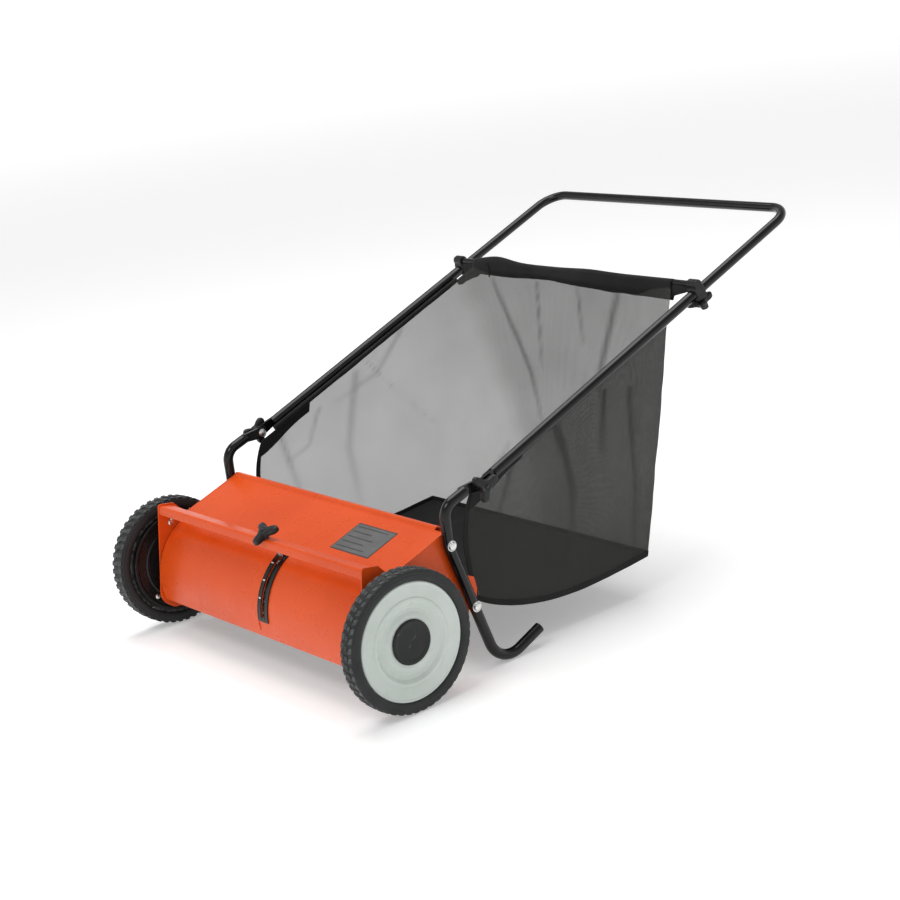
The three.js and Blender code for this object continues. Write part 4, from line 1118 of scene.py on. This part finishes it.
def rear_band():
    """The black band folded over the crossbar, with its seam and the pointed flaps at its ends."""
    verts, faces = loft([band_section(-1 + 2 * i / 90) for i in range(91)], closed_rings=False)
    shape = verts, [(a, d, c, b) for a, b, c, d in faces]
    band = piece("hopper_band", "handle", BLACK_CLOTH, shape, sharp=80, uv=weave_of(shape), thickness=1)
    y, z = CROSSBAR
    seam = [Vector((-197 + 0.8 * k, y - 9.2 + 0.2 * k, z + 2 - 3.4 * k)) for k in range(8)]
    parts = [band_flap(-1), band_flap(1), ribbon(seam, [Vector((1, 0, 0))] * len(seam), 1.6, 1)]
    return band, trim("hopper_flaps", parts)


# ---- camera, light and floor ----------------------------------------------------------------
def camera():
    data = bpy.data.cameras.new("camera")
    data.sensor_width = 36
    data.lens = 79.965
    data.clip_end = 200
    made = place("camera", data)
    eye = TO_FRAME @ Matrix.Translation(CAMERA_AT)
    aim = Euler([radians(angle) for angle in CAMERA_TURN]).to_matrix().to_4x4()
    made.matrix_world = Matrix.Translation(eye.translation) @ TO_FRAME.to_3x3().normalized().to_4x4() @ aim
    bpy.context.scene.camera = made


def floor():
    """A wide sheet of pale paper that glows a little, more so far away, where the lamps don't reach."""
    mesh = bpy.data.meshes.new("floor")
    corners = [(x * FLOOR_REACH, y * FLOOR_REACH, 0) for x, y in ((-1, -1), (1, -1), (1, 1), (-1, 1))]
    mesh.from_pydata(corners, [], [(0, 1, 2, 3)])
    s = Shader("floor_paper", Roughness=0.9, Emission_Color=(1, 1, 1, 1))
    s.set("Base Color", s.mix(s.noise(2), grey(0.90), grey(0.93)))
    away = s.node("VectorMath", {0: s.coords}, operation="LENGTH").outputs["Value"]
    s.set("Emission Strength", s.ramp(away, 1.5, 9, 0.28, 0.66))
    mesh.materials.append(s.material)
    place("floor", mesh)


def sky():
    """White at the horizon and darker overhead, like a studio with its lamps off."""
    world = bpy.data.worlds.new("studio")
    world.use_nodes = True
    tree = world.node_tree
    background = tree.nodes["Background"]
    background.inputs["Strength"].default_value = 1
    height = tree.nodes.new("ShaderNodeSeparateXYZ")
    tree.links.new(tree.nodes.new("ShaderNodeTexCoord").outputs["Generated"], height.inputs[0])
    fade = tree.nodes.new("ShaderNodeMapRange")
    for socket, value in (("From Min", 0.12), ("From Max", 0.55), ("To Min", 1), ("To Max", 0.35)):
        fade.inputs[socket].default_value = value
    tree.links.new(height.outputs["Z"], fade.inputs["Value"])
    tree.links.new(fade.outputs["Result"], background.inputs["Color"])
    bpy.context.scene.world = world


def lamp(name, at, size, power, towards):
    data = bpy.data.lights.new(name, "AREA")
    data.shape = "RECTANGLE"
    data.size, data.size_y = size
    data.energy = power
    made = place(name, data)
    made.location = at
    made.rotation_mode = "QUATERNION"
    made.rotation_quaternion = (Vector(towards) - Vector(at)).to_track_quat("-Z", "Y")


def stage():
    camera()
    floor()
    sky()
    lamp("key", (0.5, -2.2, 2.9), (1.4, 1), 22, (0, -0.1, 0.2))
    lamp("top", (-0.5, 0.3, 3), (2.4, 2.4), 62, (0, 0, 0.2))
    bpy.context.scene.view_settings.view_transform = "Standard"


stage()
housing_sheets()
front_cover()
slot_guide()
knobs()
bolts()
clamp_bolt()
axle_parts()
brush()
tubes()
cross_rods()
clamps()
label()
grid = hopper_grid()
wall = hopper(grid)
floor_cloth = hopper_floor()
trims = [bindings(grid), side_hems(grid)]
band, flaps = rear_band()

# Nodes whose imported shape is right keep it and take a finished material.
for kept, (_, material) in (("cover_arm", ZINC), ("pinion", PLASTIC), ("rim", PLASTIC)):
    for side, _ in SIDES:
        slots = frame["nodes"][f"{kept}_{side}"].data.materials
        slots.clear()
        slots.append(material)
